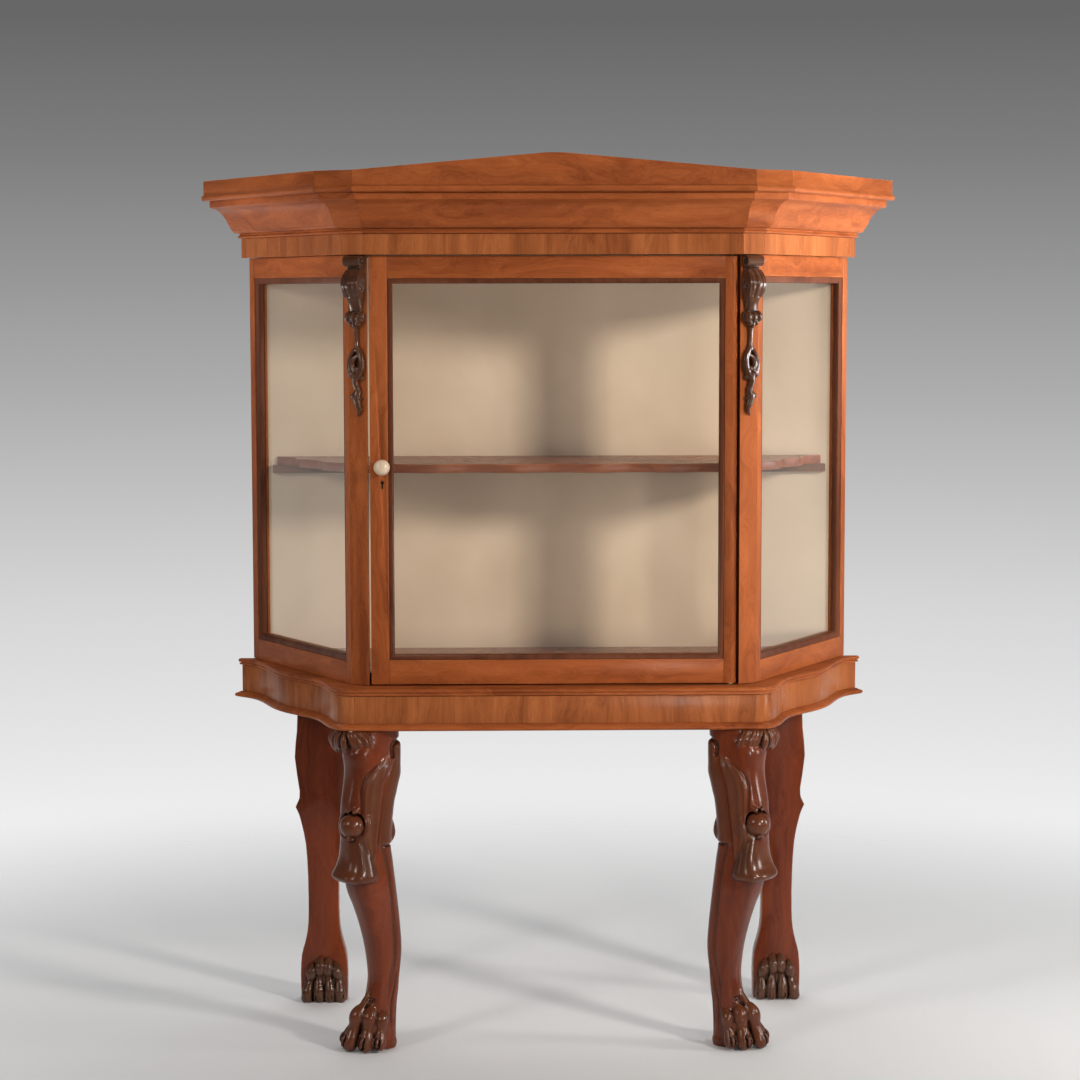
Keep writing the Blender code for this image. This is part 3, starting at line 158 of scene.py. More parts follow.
# The wood behind the tufts, and the lobe between them: place and radius
TUFT_ROOT = tenths((380, -160, 5000, 80), (610, 40, 4990, 88), (560, 400, 5000, 80))
TUFT_LOBE = tenths((620, 60, 5120, 40), (680, 40, 5010, 62), (690, 30, 4905, 62), (650, 40, 4820, 42))

# Rear toes: place across and size, then one from its top curl to its tip: height, stand-out, radius
REAR_TOES = ((-0.0280, 0.90), (-0.0095, 1.0), (0.0095, 1.02), (0.0280, 0.88))
REAR_TOE_LINE = tenths(
    (680, 40, 70), (600, 88, 88), (520, 98, 82), (440, 60, 62), (340, 72, 70), (200, 112, 94), (85, 112, 98))
REAR_TOE_TOP = 0.068
REAR_TOE_TIP = 0.0098
REAR_NAIL_OUT = 0.0112
REAR_NAIL_HEIGHT = 0.0095
REAR_NAIL_PARTS = ((0.0040, 0.0046, -1), (0.0024, 0.0030, 1))
REAR_NAIL_TURNS = (1.0, 0.7, 0.4, 0.1, -0.2)

# Corbel: how far it may reach to each side without meeting the open door, and the sections of its console:
# drop, half width and stand-out
CORBEL_HALF_WIDTH = 0.0154
CONSOLE_SECTIONS = tenths(
    (10, 136, 95), (140, 136, 98), (195, 126, 106), (250, 130, 150), (320, 146, 216), (400, 156, 262),
    (480, 156, 270), (560, 146, 240), (650, 130, 182), (750, 115, 126), (860, 108, 90), (980, 114, 76))
# Rounds at the ends of its roll and in its leaf, on both sides: across, out, drop, the three radii, the seam's width,
# and -1 to cut or 1 to add
ROLL_EYES = (
    (0.0148, 0.0098, 0.0100, 0.0016, 0.0050, 0.0050, 0.0005, -1),
    (0.0148, 0.0098, 0.0100, 0.0014, 0.0026, 0.0026, 0.0004, 1),
)
LEAF_LOBES = (
    (0.0100, 0.0080, 0.0960, 0.0056, 0.0084, 0.0090, 0.0005, 1),
    (0.0160, 0.0082, 0.0960, 0.0020, 0.0040, 0.0040, 0.0006, -1),
    (0.0060, 0.0072, 0.1050, 0.0044, 0.0062, 0.0058, 0.0005, 1),
)
# Stems, leaves and berries of the corbel's drop: across, out, drop, radius
DROP_LIMBS = [tenths(*limb) for limb in (
    ((0, 36, 1060, 50), (-4, 36, 1180, 38), (-8, 36, 1320, 33), (-14, 40, 1460, 44)),
    ((-10, 40, 1420, 36), (-80, 52, 1530, 46), (-112, 58, 1670, 52), (-80, 62, 1810, 50), (-12, 66, 1910, 50)),
    ((-10, 40, 1430, 34), (56, 46, 1510, 38), (102, 50, 1620, 40), (110, 56, 1740, 44), (72, 62, 1850, 46)),
    ((-34, 60, 1560, 36), (22, 72, 1610, 42), (44, 78, 1700, 42), (8, 80, 1780, 42)),
    ((0, 60, 1880, 56), (10, 54, 1980, 50), (-30, 46, 2090, 50), (-6, 48, 2190, 64), (-26, 46, 2290, 58),
     (-54, 40, 2380, 42), (-36, 32, 2445, 28), (-6, 24, 2490, 11)),
    ((0, 46, 2130, 44), (62, 42, 2185, 38), (116, 30, 2200, 13)),
    ((-10, 46, 2170, 42), (-60, 42, 2215, 34), (-100, 30, 2210, 12)),
    ((20, 50, 1840, 44), (90, 50, 1870, 38), (130, 36, 1830, 14)),
    ((-20, 50, 1840, 42), (-90, 48, 1900, 36), (-126, 36, 1880, 13)),
)]
DROP_BERRIES = tenths((40, 76, 1815, 52), (-40, 78, 1765, 48), (2, 72, 1905, 50), (-76, 62, 1850, 40))

# Turned knob: radius and stand-out, from the door to its top
KNOB_PROFILE = tenths(
    (0, 3), (78, 3), (82, 12), (76, 22), (56, 31), (50, 44), (66, 62), (98, 90), (119, 122), (125, 152),
    (121, 188), (104, 226), (72, 255), (34, 267), (0, 270))
KNOB_STEPS = 64

# Camera: place, its yaw, pitch and roll, and its lens
CAMERA_PLACE = (-0.09927, -4.19272, 1.17765)
CAMERA_YAW = 0.0190282
CAMERA_PITCH = 0.0914693
CAMERA_ROLL = -0.00183405
CAMERA_LENS = 87.33


# Sizes and colours

def length_property(name, what, default, low, high):
    return bpy.props.FloatProperty(name=name, description=what, default=default, min=low, max=high, unit="LENGTH")


def colour_property(name, what, default):
    return bpy.props.FloatVectorProperty(
        name=name, description="Colour of " + what, default=default, min=0.0, max=1.0, size=3, subtype="COLOR")


class CabinetSizes(bpy.types.PropertyGroup):
    """Sizes of the small work that finishes the cabinet."""

    easing: length_property("Edge easing", "Width that sharp wooden edges are rounded to", 0.0007, 0.0, 0.003)
    leg_grain: length_property(
        "Leg carving detail", "Smallest step of the carving on the legs", 0.00143, 0.001, 0.006)
    corbel_grain: length_property(
        "Corbel carving detail", "Smallest step of the carving on the corbels and rear paws", 0.0008, 0.0005, 0.004)
    shelf_wave: bpy.props.FloatProperty(
        name="Shelf wave", description="Share by which the waves of the shelf's front edge are deepened",
        default=0.35, min=0.0, max=0.6, subtype="FACTOR")
    reeds: bpy.props.IntProperty(
        name="Reeds", description="Reeds in each tuft under the base", default=6, min=3, max=9)
    screw_spacing: length_property(
        "Screw spacing", "Distance between the screws of the back panel", 0.155, 0.05, 0.4)
    screw_radius: length_property(
        "Screw head radius", "Radius of the screw heads in the back panel", 0.0036, 0.002, 0.006)


class CabinetColours(bpy.types.PropertyGroup):
    """Colours of the cabinet's finishes."""

    case: colour_property("Case wood", "the polished case, door and cornice", (0.318, 0.083, 0.0235))
    veneer: colour_property("Veneer", "the frieze and base veneers", (0.305, 0.091, 0.028))
    leg: colour_property("Leg wood", "the legs", (0.145, 0.0265, 0.0068))
    carving: colour_property("Dark carving", "the corbels and rear paws", (0.085, 0.033, 0.016))
    bead: colour_property("Glazing bead", "the beads round the glass", (0.120, 0.038, 0.018))
    shelf: colour_property("Shelf wood", "the shelf and case floor", (0.225, 0.060, 0.019))
    back: colour_property("Back boards", "the plain boards behind and on top", (0.190, 0.085, 0.038))
    lining: colour_property("Lining", "the lining of the back", (0.690, 0.530, 0.385))
    ivory: colour_property("Ivory", "the knob", (0.690, 0.540, 0.400))
    brass: colour_property("Brass", "the lock, pins and keyhole edge", (0.480, 0.330, 0.130))


# Node trees

def new_group(name, tree_kind, inputs, outputs):
    """An empty node group with named sockets, its given values and its output node."""
    group = bpy.data.node_groups.new(name, tree_kind)
    for socket, kind, *default in inputs:
        made = group.interface.new_socket(socket, in_out="INPUT", socket_type="NodeSocket" + kind)
        if default:
            made.default_value = default[0]
    for socket, kind in outputs:
        group.interface.new_socket(socket, in_out="OUTPUT", socket_type="NodeSocket" + kind)
    return group, group.nodes.new("NodeGroupInput").outputs, group.nodes.new("NodeGroupOutput")


def feed(tree, node, links):
    """Links a node's inputs to other nodes' outputs, or sets their values."""
    for key, value in links.items():
        if isinstance(value, bpy.types.NodeSocket):
            tree.links.new(value, node.inputs[key])
        else:
            node.inputs[key].default_value = value


def add_node(tree, kind, links=None, **values):
    """Adds a node, sets its properties and feeds its inputs."""
    node = tree.nodes.new(kind)
    for key, value in values.items():
        setattr(node, key, value)
    feed(tree, node, links or {})
    return node


def maths(tree, operation, first, second, clamp=False):
    return add_node(tree, "ShaderNodeMath", {0: first, 1: second}, operation=operation, use_clamp=clamp).outputs[0]


def times(tree, first, second, clamp=False):
    return maths(tree, "MULTIPLY", first, second, clamp)


def streaks(tree, place, scale, detail, distortion=0.0):
    """Noise that is stretched along the grain."""
    scaled = add_node(tree, "ShaderNodeVectorMath", {0: place, 1: scale}, operation="MULTIPLY")
    links = {"Vector": scaled.outputs[0], "Scale": 1.0, "Detail": detail, "Roughness": 0.55, "Distortion": distortion}
    return add_node(tree, "ShaderNodeTexNoise", links).outputs["Fac"]


def ranged(tree, value, low, high, start=0.0, end=1.0, **values):
    links = {"Value": value, "From Min": low, "From Max": high, "To Min": start, "To Max": end}
    return add_node(tree, "ShaderNodeMapRange", links, **values).outputs[0]


def mix_colours(tree, factor, first, second):
    links = {"Factor": factor, 6: first, 7: second}
    return add_node(tree, "ShaderNodeMix", links, data_type="RGBA").outputs[2]


def colour_ramp(tree, factor, rows):
    """Colours that change with a factor, from rows of a place and a colour."""
    ramp = add_node(tree, "ShaderNodeValToRGB", {"Fac": factor})
    stops = ramp.color_ramp.elements
    for i, (place, colour) in enumerate(rows):
        stop = stops[i] if i < 2 else stops.new(place)
        stop.position = place
        stop.color = colour
    return ramp.outputs["Color"]


def bumped(tree, height, strength, distance):
    links = {"Height": height, "Strength": strength, "Distance": distance}
    return add_node(tree, "ShaderNodeBump", links).outputs["Normal"]


def mixed_shader(tree, factor, first, second):
    links = {0: factor, 1: first.outputs[0], 2: second.outputs[0]}
    return add_node(tree, "ShaderNodeMixShader", links)


# Shader groups

# Near-black that hollows are darkened towards, partly old polish and partly painted shade, then the pale of rubbed
# edges
OLD_POLISH_AND_SHADE = (0.010, 0.005, 0.003, 1)
RUBBED_WOOD = (0.56, 0.21, 0.085, 1)


def wood_group():
    """Grain, figure and pores of polished wood, from places measured along and across the grain."""
    group, given, out = new_group(
        "wood_grain", "ShaderNodeTree",
        (("Place", "Vector"), ("Flame", "Float", 1.0), ("Stripe", "Float", 1.0)),
        (("Tone", "Float"), ("Pores", "Float"), ("Relief", "Float")))
    place = given["Place"]
    wander = streaks(group, place, (5.0, 9.0, 9.0), 2.0)
    shift = times(group, ranged(group, wander, 0.3, 0.7, -0.03, 0.03), given["Flame"])
    offset = add_node(group, "ShaderNodeCombineXYZ", {"Y": shift, "Z": shift}).outputs[0]
    bent = add_node(group, "ShaderNodeVectorMath", {0: place, 1: offset}, operation="ADD").outputs[0]
    cloud = ranged(group, streaks(group, place, (2.6, 8.0, 8.0), 3.0, 0.4), 0.30, 0.70)
    ribbon = ranged(group, streaks(group, bent, (2.2, 62.0, 62.0), 3.0, 0.3), 0.28, 0.72)
    fibre = ranged(group, streaks(group, bent, (9.0, 420.0, 420.0), 2.0), 0.30, 0.70)
    striped = times(group, ribbon, given["Stripe"])
    tone = maths(group, "ADD", times(group, cloud, 0.40), times(group, striped, 0.42))
    tone = maths(group, "ADD", tone, times(group, fibre, 0.18), clamp=True)
    pores = ranged(group, streaks(group, bent, (45.0, 1300.0, 1300.0), 1.0), 0.62, 0.74)
    relief = maths(group, "SUBTRACT", times(group, fibre, 0.35), pores)
    feed(group, out, {"Tone": tone, "Pores": pores, "Relief": relief})
    return group


def wear_and_shade_group():
    """Hollows darkened partly by old polish and partly by painted shade, and edges that hands have rubbed pale."""
    group, given, out = new_group(
        "old_polish", "ShaderNodeTree",
        (("Colour", "Color"), ("Stain", "Color"), ("Carved", "Float", 0.0), ("Hollow", "Float", 0.0),
         ("Edge", "Float", 0.0), ("Place", "Vector")),
        (("Colour", "Color"), ("Dull", "Float")))
    patch = ranged(group, streaks(group, given["Place"], (18.0, 18.0, 18.0), 3.0), 0.35, 0.70)
    stained = mix_colours(group, times(group, given["Carved"], 0.62), given["Colour"], given["Stain"])
    # Painted shade: the more closed in a point lies, the nearer its colour goes to near-black, partly as old polish
    deep = mix_colours(group, times(group, given["Hollow"], 0.90, clamp=True), stained, OLD_POLISH_AND_SHADE)
    rubbed = times(group, times(group, given["Edge"], patch), 0.42, clamp=True)
    dull = maths(group, "ADD", times(group, given["Hollow"], 0.30), times(group, patch, 0.06))
    feed(group, out, {"Colour": mix_colours(group, rubbed, deep, RUBBED_WOOD), "Dull": dull})
    return group


def patch_group():
    """Soft patches that change from one colour and polish to another."""
    group, given, out = new_group(
        "soft_patches", "ShaderNodeTree",
        (("Place", "Vector"), ("Scale", "Vector"), ("Detail", "Float", 3.0), ("Distortion", "Float", 0.4),
         ("Low", "Float", 0.30), ("High", "Float", 0.70), ("First colour", "Color"), ("Last colour", "Color"),
         ("First roughness", "Float", 0.5), ("Last roughness", "Float", 0.5)),
        (("Colour", "Color"), ("Roughness", "Float")))
    noise = streaks(group, given["Place"], given["Scale"], given["Detail"], given["Distortion"])
    patch = ranged(group, noise, given["Low"], given["High"])
    feed(group, out, {
        "Colour": mix_colours(group, patch, given["First colour"], given["Last colour"]),
        "Roughness": ranged(group, patch, 0.0, 1.0, given["First roughness"], given["Last roughness"]),
    })
    return group


def shared_group(tree, name, maker, links):
    """Places a group that several materials share, and feeds it."""
    group = bpy.data.node_groups.get(name) or maker()
    return add_node(tree, "ShaderNodeGroup", links, node_tree=group).outputs


# Materials

def bare_material(name, colour):
    made = bpy.data.materials.new(name)
    made.use_nodes = True
    made.diffuse_color = (*colour, 1.0)
    return made, made.node_tree, made.node_tree.nodes["Principled BSDF"]


def attribute(tree, name, output="Fac"):
    return add_node(tree, "ShaderNodeAttribute", attribute_name=name, attribute_type="GEOMETRY").outputs[output]


def shade(colour, by):
    return (*[min(1.0, channel * share) for channel, share in zip(colour, by)], 1.0)


def wood_material(colour, name, roughness, coat, coat_roughness, flame, stripe, stain):
    """Polished wood whose grain follows each piece."""
    made, tree, shader = bare_material(name, colour)
    place = attribute(tree, "grain", "Vector")
    grain = shared_group(tree, "wood_grain", wood_group, {"Place": place, "Flame": flame, "Stripe": stripe})
    figure = colour_ramp(tree, grain["Tone"], (
        (0.18, shade(colour, (0.60, 0.54, 0.56))),
        (0.86, shade(colour, (1.36, 1.46, 1.50))),
        (0.52, (*colour, 1.0)),
    ))
    pored = mix_colours(tree, times(tree, grain["Pores"], 0.40), figure, shade(colour, (0.30, 0.26, 0.26)))
    worn_and_shaded = shared_group(tree, "old_polish", wear_and_shade_group, {
        "Colour": pored, "Stain": shade(colour, stain), "Carved": attribute(tree, "carved"),
        "Hollow": attribute(tree, "hollow"), "Edge": attribute(tree, "edge"), "Place": place,
    })
    feed(tree, shader, {
        "Base Color": worn_and_shaded["Colour"],
        "Roughness": maths(tree, "ADD", worn_and_shaded["Dull"], roughness, clamp=True),
        "Normal": bumped(tree, grain["Relief"], 0.30, 0.00008),
        "Specular IOR Level": 0.04, "Coat Weight": coat, "Coat Roughness": coat_roughness,
    })
    return made


def patchy_material(name, colour, noise, reach, shades, roughness):
    """A finish whose colour and polish change in soft patches."""
    made, tree, shader = bare_material(name, colour)
    place = add_node(tree, "ShaderNodeTexCoord").outputs["Object"]
    values = (place, *noise, *reach, *[shade(colour, share) for share in shades], *roughness)
    names = ("Place", "Scale", "Detail", "Distortion", "Low", "High", "First colour", "Last colour",
             "First roughness", "Last roughness")
    patches = shared_group(tree, "soft_patches", patch_group, dict(zip(names, values)))
    feed(tree, shader, {"Base Color": patches["Colour"], "Roughness": patches["Roughness"]})
    return made, tree, shader, place


def cloth_material(colour):
    """A pale lining of old papered cloth, uneven and a little stained."""
    made, tree, shader, place = patchy_material(
        "cream_lining", colour, ((5.0, 5.0, 4.0), 5.0, 0.3), (0.30, 0.72),
        ((0.86, 0.83, 0.80), (1.08, 1.09, 1.12)), (0.78, 0.92))
    weave = streaks(tree, place, (260.0, 260.0, 900.0), 1.0)
    feed(tree, shader, {"Normal": bumped(tree, weave, 0.25, 0.0002), "Specular IOR Level": 0.25})
    return made


def ivory_material(colour):
    """Turned ivory-coloured material, clouded and a little yellow."""
    made, tree, shader, _ = patchy_material(
        "ivory_knob", colour, ((120.0, 120.0, 60.0), 3.0, 0.5), (0.30, 0.70),
        ((0.88, 0.84, 0.78), (1.06, 1.06, 1.06)), (0.24, 0.34))
    feed(tree, shader, {"Coat Weight": 0.2})
    return made


def brass_material(colour):
    """Old brass with brown stains."""
    made, tree, shader, _ = patchy_material(
        "old_brass", colour, ((160.0, 160.0, 160.0), 4.0, 0.4), (0.35, 0.70),
        ((0.45, 0.40, 0.36), (1.0, 1.0, 1.0)), (0.55, 0.30))
    feed(tree, shader, {"Metallic": 1.0})
    return made


def glass_material():
    """Clear glass that lets light through to the back of the case."""
    made, tree, shader = bare_material("clear_pane_glass", (0.95, 0.97, 0.96))
    feed(tree, shader, {
        "Base Color": (0.975, 0.985, 0.978, 1.0), "Roughness": 0.0, "IOR": 1.45, "Transmission Weight": 1.0})
    path = add_node(tree, "ShaderNodeLightPath").outputs
    clear = add_node(tree, "ShaderNodeBsdfTransparent", {"Color": (0.95, 0.96, 0.95, 1.0)})
    through = maths(tree, "MAXIMUM", path["Is Shadow Ray"], path["Is Diffuse Ray"])
    feed(tree, tree.nodes["Material Output"], {"Surface": mixed_shader(tree, through, shader, clear).outputs[0]})
    return made


# Woods by slot: material, roughness, coat weight and roughness, flame, stripe, and the stain's share of the colour
PLAIN_STAIN = (0.62, 0.95, 1.25)
WOODS = {
    "case_wood": ("case_mahogany", 0.30, 0.12, 0.27, 1.0, 0.9, PLAIN_STAIN),
    "veneer_wood": ("figured_veneer", 0.26, 0.16, 0.27, 0.5, 1.1, PLAIN_STAIN),
    "leg_wood": ("leg_mahogany", 0.32, 0.64, 0.225, 0.8, 0.9, (0.62, 1.25, 2.10)),
    "carving_wood": ("dark_carving", 0.30, 0.75, 0.20, 0.6, 0.8, PLAIN_STAIN),
    "bead_wood": ("dark_bead", 0.30, 0.18, 0.27, 0.4, 0.8, PLAIN_STAIN),
    "shelf_wood": ("shelf_mahogany", 0.24, 0.70, 0.27, 1.0, 0.9, PLAIN_STAIN),
    "back_wood": ("back_board_wood", 0.62, 0.0, 0.27, 0.8, 1.0, PLAIN_STAIN),
}
FINISHES = {}


def finish(slot):
    """The material of one of the record's slots, made when it is first asked for."""
    if slot not in FINISHES:
        colours = bpy.context.scene.cabinet_colours
        if slot in WOODS:
            made = wood_material(getattr(colours, slot.removesuffix("_wood")), *WOODS[slot])
        elif slot == "pane_glass":
            made = glass_material()
        else:
            makers = {"lining": cloth_material, "ivory": ivory_material, "brass": brass_material}
            made = makers[slot](getattr(colours, slot))
        FINISHES[slot] = made
    return FINISHES[slot]


# Meshes and pieces

# How far the grain of one piece is shifted against the next, along, across and into the wood
GRAIN_SHIFT = np.array((0.731, 0.417, 0.239))
SMOOTH_ANGLE = 52
CRISP_ANGLE = 24
KNOB_ANGLE = 60
EASE_ANGLE = math.radians(52)
EASE_SHORTEST = 0.005
FLAT_ANGLE = math.radians(0.4)


def set_values(mesh, name, values, kind="FLOAT", domain="POINT", field="value"):
    made = mesh.attributes.get(name) or mesh.attributes.new(name, kind, domain)
    made.data.foreach_set(field, np.asarray(values, np.float32).ravel())


def lay_grain(mesh, along, seed):
    """Stores each point's place along, across and into the grain, shifted for each piece."""
    points = np.empty(len(mesh.vertices) * 3, np.float32)
    mesh.vertices.foreach_get("co", points)
    along = along.normalized()
    across = Vector((0, 0, 1)).cross(along)
    if across.length < 0.01:
        across = Vector((1, 0, 0))
    across.normalize()
    turn = np.array([along, across, along.cross(across)])
    places = points.reshape(-1, 3) @ turn.T + GRAIN_SHIFT * seed
    set_values(mesh, "grain", places, "FLOAT_VECTOR", field="vector")


def new_object(name, data):
    made = bpy.data.objects.new(name, data)
    bpy.context.scene.collection.objects.link(made)
    return made


def add_piece(name, mesh, slot, body, replaced=()):
    """Puts a finished mesh in the scene as a piece that moves with a body."""
    mesh.materials.clear()
    mesh.materials.append(finish(slot))
    made = new_object(name, mesh)
    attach(made, body)
    if replaced:
        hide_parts(*replaced)
    return made


def dress(slot, *nodes):
    """Gives CAD pieces that are shown as they are their finish."""
    for node in nodes:
        NODES[node].data.materials[0] = finish(slot)


def kept_mesh(bm, name):
    mesh = bpy.data.meshes.new(name)
    bm.to_mesh(mesh)
    bm.free()
    return mesh


def smoothed(mesh, degrees):
    mesh.shade_smooth()
    mesh.set_sharp_from_angle(angle=math.radians(degrees))


def eased_board(node, seed, run, easing, smooth=SMOOTH_ANGLE):
    """A board of the cabinet with its sharp edges rounded and its grain laid."""
    bm = bmesh.new()
    bm.from_mesh(NODES[node].data)
    bmesh.ops.remove_doubles(bm, verts=bm.verts, dist=1e-6)
    bmesh.ops.dissolve_limit(bm, angle_limit=FLAT_ANGLE, verts=bm.verts, edges=bm.edges)
    rim = set()
    if easing > 0:
        sharp = [edge for edge in bm.edges
                 if edge.is_convex and edge.calc_length() > EASE_SHORTEST and edge.calc_face_angle(0) > EASE_ANGLE]
        made = bmesh.ops.bevel(
            bm, geom=sharp, offset=easing, segments=2, profile=0.5, affect="EDGES", clamp_overlap=False)
        rim = set(made["faces"])
    edges = [float(face in rim) for face in bm.faces]
    mesh = kept_mesh(bm, node + "_board")
    smoothed(mesh, smooth)
    set_values(mesh, "edge", edges, domain="FACE")
    way = GRAIN_RUNS[run].copy()
    if node.endswith("_left"):
        way.x = -way.x
    lay_grain(mesh, way, seed)
    return add_piece(node + "_board", mesh, SLOT_OF[node], BODY_OF[node], [node])


def ease_boards(rows, smooth=SMOOTH_ANGLE):
    """Makes eased boards from rows of a run, an easing share and node names."""
    easing = bpy.context.scene.cabinet_sizes.easing
    for run, share, nodes in rows:
        for node in nodes:
            eased_board(node, sorted(NODES).index(node), run, easing * share, smooth)


def both(*names):
    return [name + side for name in names for side in ("_left", "_right")]


def box_mesh(name, low, high):
    """A plain square-edged block."""
    bm = bmesh.new()
    bmesh.ops.create_cube(bm, size=1.0)
    for vert in bm.verts:
        vert.co = [a + (b - a) * (part + 0.5) for a, b, part in zip(low, high, vert.co)]
    return kept_mesh(bm, name)


# Carving: shapes are added to and cut from a block, on a grid of distances to its surface

# Distance that an empty block starts with, and how far beyond a stack of sections it is worked out
EMPTY = 0.05
STACK_MARGIN = 0.02
RELAX_TURNS = 3
# Reach of the test for hollows, and how hollow a point must lie before old polish and painted shade darken it
HOLLOW_REACH = 0.005
HOLLOW_START = 0.07
HOLLOW_GAIN = 1.6
# How far the carving must leave the plain leg before its stain shows, and over what depth the stain grows
CARVED_START = 0.0005
CARVED_SPAN = 0.0020


def smooth_rows(rows, steps):
    """Rows on a smooth curve through the given rows, with this many steps between them."""
    given = np.array(rows, float)
    ends = np.vstack([given[:1], given, given[-1:]])
    found = []
    for before, start, end, after in zip(ends, ends[1:], ends[2:], ends[3:]):
        for t in np.arange(steps) / steps:
            pull = (end - before) * t + (2 * before - 5 * start + 4 * end - after) * t ** 2
            found.append(start + 0.5 * (pull + (3 * start - before - 3 * end + after) * t ** 3))
    return np.array([*found, given[-1]])


def across_rows(rows, place):
    """Values of a table's later columns at places along its first one."""
    return [np.interp(place, rows[:, 0], column) for column in rows.T[1:]]


def eased_step(value, start, end):
    """A smooth rise from 0 to 1 between two values."""
    share = np.clip((value - start) / (end - start), 0, 1)
    return share * share * (3 - 2 * share)


def faded(value, z, foot, head):
    """A value that eases to nothing over a span of heights at its foot and another at its head."""
    return value * eased_step(z, *foot) * (1 - eased_step(z, *head))


class Carving:
    """A block on a grid, with the distance of each grid point to the carved surface."""

    def __init__(self, low, high, step):
        self.low = np.array(low, float)
        self.step = step
        counts = np.ceil((np.array(high) - self.low) / step).astype(int) + 1
        self.axes = [self.low[k] + step * np.arange(counts[k]) for k in range(3)]
        self.field = np.full(counts, EMPTY, np.float32)
        self.plain = None

    def part(self, low, high):
        """Slices and places of the grid points in a box."""
        cuts = []
        for k, axis in enumerate(self.axes):
            first = int(np.clip(np.floor((low[k] - self.low[k]) / self.step), 0, len(axis)))
            last = int(np.clip(np.ceil((high[k] - self.low[k]) / self.step) + 1, first, len(axis)))
            cuts.append(slice(first, last))
        near = [axis[cut].astype(np.float32) for axis, cut in zip(self.axes, cuts)]
        return tuple(cuts), np.meshgrid(*near, indexing="ij", sparse=True)

    def merge(self, found, cuts, blend, sign):
        """Joins (sign 1) or cuts away (sign -1) a shape, with a rounded seam."""
        here = self.field[cuts] * sign
        apart = np.maximum(blend - np.abs(here - found), 0) / max(blend, 1e-9)
        self.field[cuts] = sign * (np.minimum(here, found) - apart * apart * blend / 4)

    def limb(self, points, blend=0.001, sign=1, steps=4):
        """A round limb along points of x, y, z and radius."""
        rows = smooth_rows(points, steps) if len(points) > 2 else np.array(points, float)
        reach = rows[:, 3].max() + blend + 3 * self.step
        cuts, (x, y, z) = self.part(rows[:, :3].min(0) - reach, rows[:, :3].max(0) + reach)
        best = None
        for a, b in zip(rows, rows[1:]):
            way = b[:3] - a[:3]
            square = max(float(way @ way), 1e-12)
            t = np.clip(((x - a[0]) * way[0] + (y - a[1]) * way[1] + (z - a[2]) * way[2]) / square, 0, 1)
            gap = np.sqrt((x - a[0] - t * way[0]) ** 2 + (y - a[1] - t * way[1]) ** 2 + (z - a[2] - t * way[2]) ** 2)
            gap -= a[3] + (b[3] - a[3]) * t
            best = gap if best is None else np.minimum(best, gap)
        self.merge(best, cuts, blend, sign)

    def groove(self, points, blend):
        """Cuts a round groove straight from point to point."""
        self.limb(points, blend, -1, steps=1)

    def egg(self, centre, radii, blend=0.001, sign=1):
        """An ellipsoid along the axes."""
        centre = np.array(centre, float)
        radii = np.array(radii, float)
        reach = radii + blend + 3 * self.step
        cuts, places = self.part(centre - reach, centre + reach)
        near = np.sqrt(sum(((p - c) / r) ** 2 for p, c, r in zip(places, centre, radii)))
        far = np.sqrt(sum(((p - c) / (r * r)) ** 2 for p, c, r in zip(places, centre, radii)))
        self.merge(near * (near - 1) / np.maximum(far, 1e-6), cuts, blend, sign)

    def paired_eggs(self, rows):
        """Ellipsoids on both sides, from rows of across, out, height, three radii, seam and sign."""
        for side in SIDES:
            for across, out, height, *radii, blend, sign in rows:
                self.egg((side * across, out, height), radii, blend, sign)

    def stack(self, sections, squareness, blend=0.001, side=0.0):
        """A solid of level rounded-square sections: height, forward place, half depth, half width."""
        rows = smooth_rows(sections, 6)
        rows = rows[np.argsort(rows[:, 0])]
        low = rows[0, 0]
        high = rows[-1, 0]
        cuts, (x, y, z) = self.part((*self.low[:2], low - STACK_MARGIN), (1, 1, high + STACK_MARGIN))
        forward, deep, wide = [found.astype(np.float32) for found in across_rows(rows, z)]
        share = np.abs((x - forward) / deep) ** squareness + np.abs((y - side) / wide) ** squareness
        gap = (share ** (1 / squareness) - 1) * np.minimum(deep, wide)
        self.merge(np.maximum(gap, np.maximum(low - z, z - high)), cuts, blend, 1)

    def relief(self, low, high, height):
        """Raises or sinks the surface between two levels by a height that changes from place to place."""
        cuts, places = self.part((-1, -1, low), (1, 1, high))
        self.field[cuts] -= height(*places).astype(np.float32)

    def clip(self, axis, place, sign):
        """Cuts everything off beyond a level plane."""
        shape = [1, 1, 1]
        shape[axis] = -1
        self.field = np.maximum(self.field, sign * (self.axes[axis].reshape(shape) - place)).astype(np.float32)

    def sample(self, points, field=None):
        """The distance at any points, or another field's value there."""
        field = self.field if field is None else field
        at = (points - self.low) / self.step
        base = np.clip(np.floor(at).astype(int), 0, np.array(field.shape) - 2)
        part = at - base
        total = np.zeros(len(points))
        for corner in np.ndindex(2, 2, 2):
            share = np.prod(np.where(corner, part, 1 - part), axis=1)
            total += share * field[tuple((base + corner).T)]
        return total

    def slope(self, points):
        """Outward normals of the surface near some points."""
        ways = np.array([self.sample(points + step) - self.sample(points - step) for step in np.eye(3) * self.step]).T
        return ways / np.maximum(np.linalg.norm(ways, axis=1, keepdims=True), 1e-9)

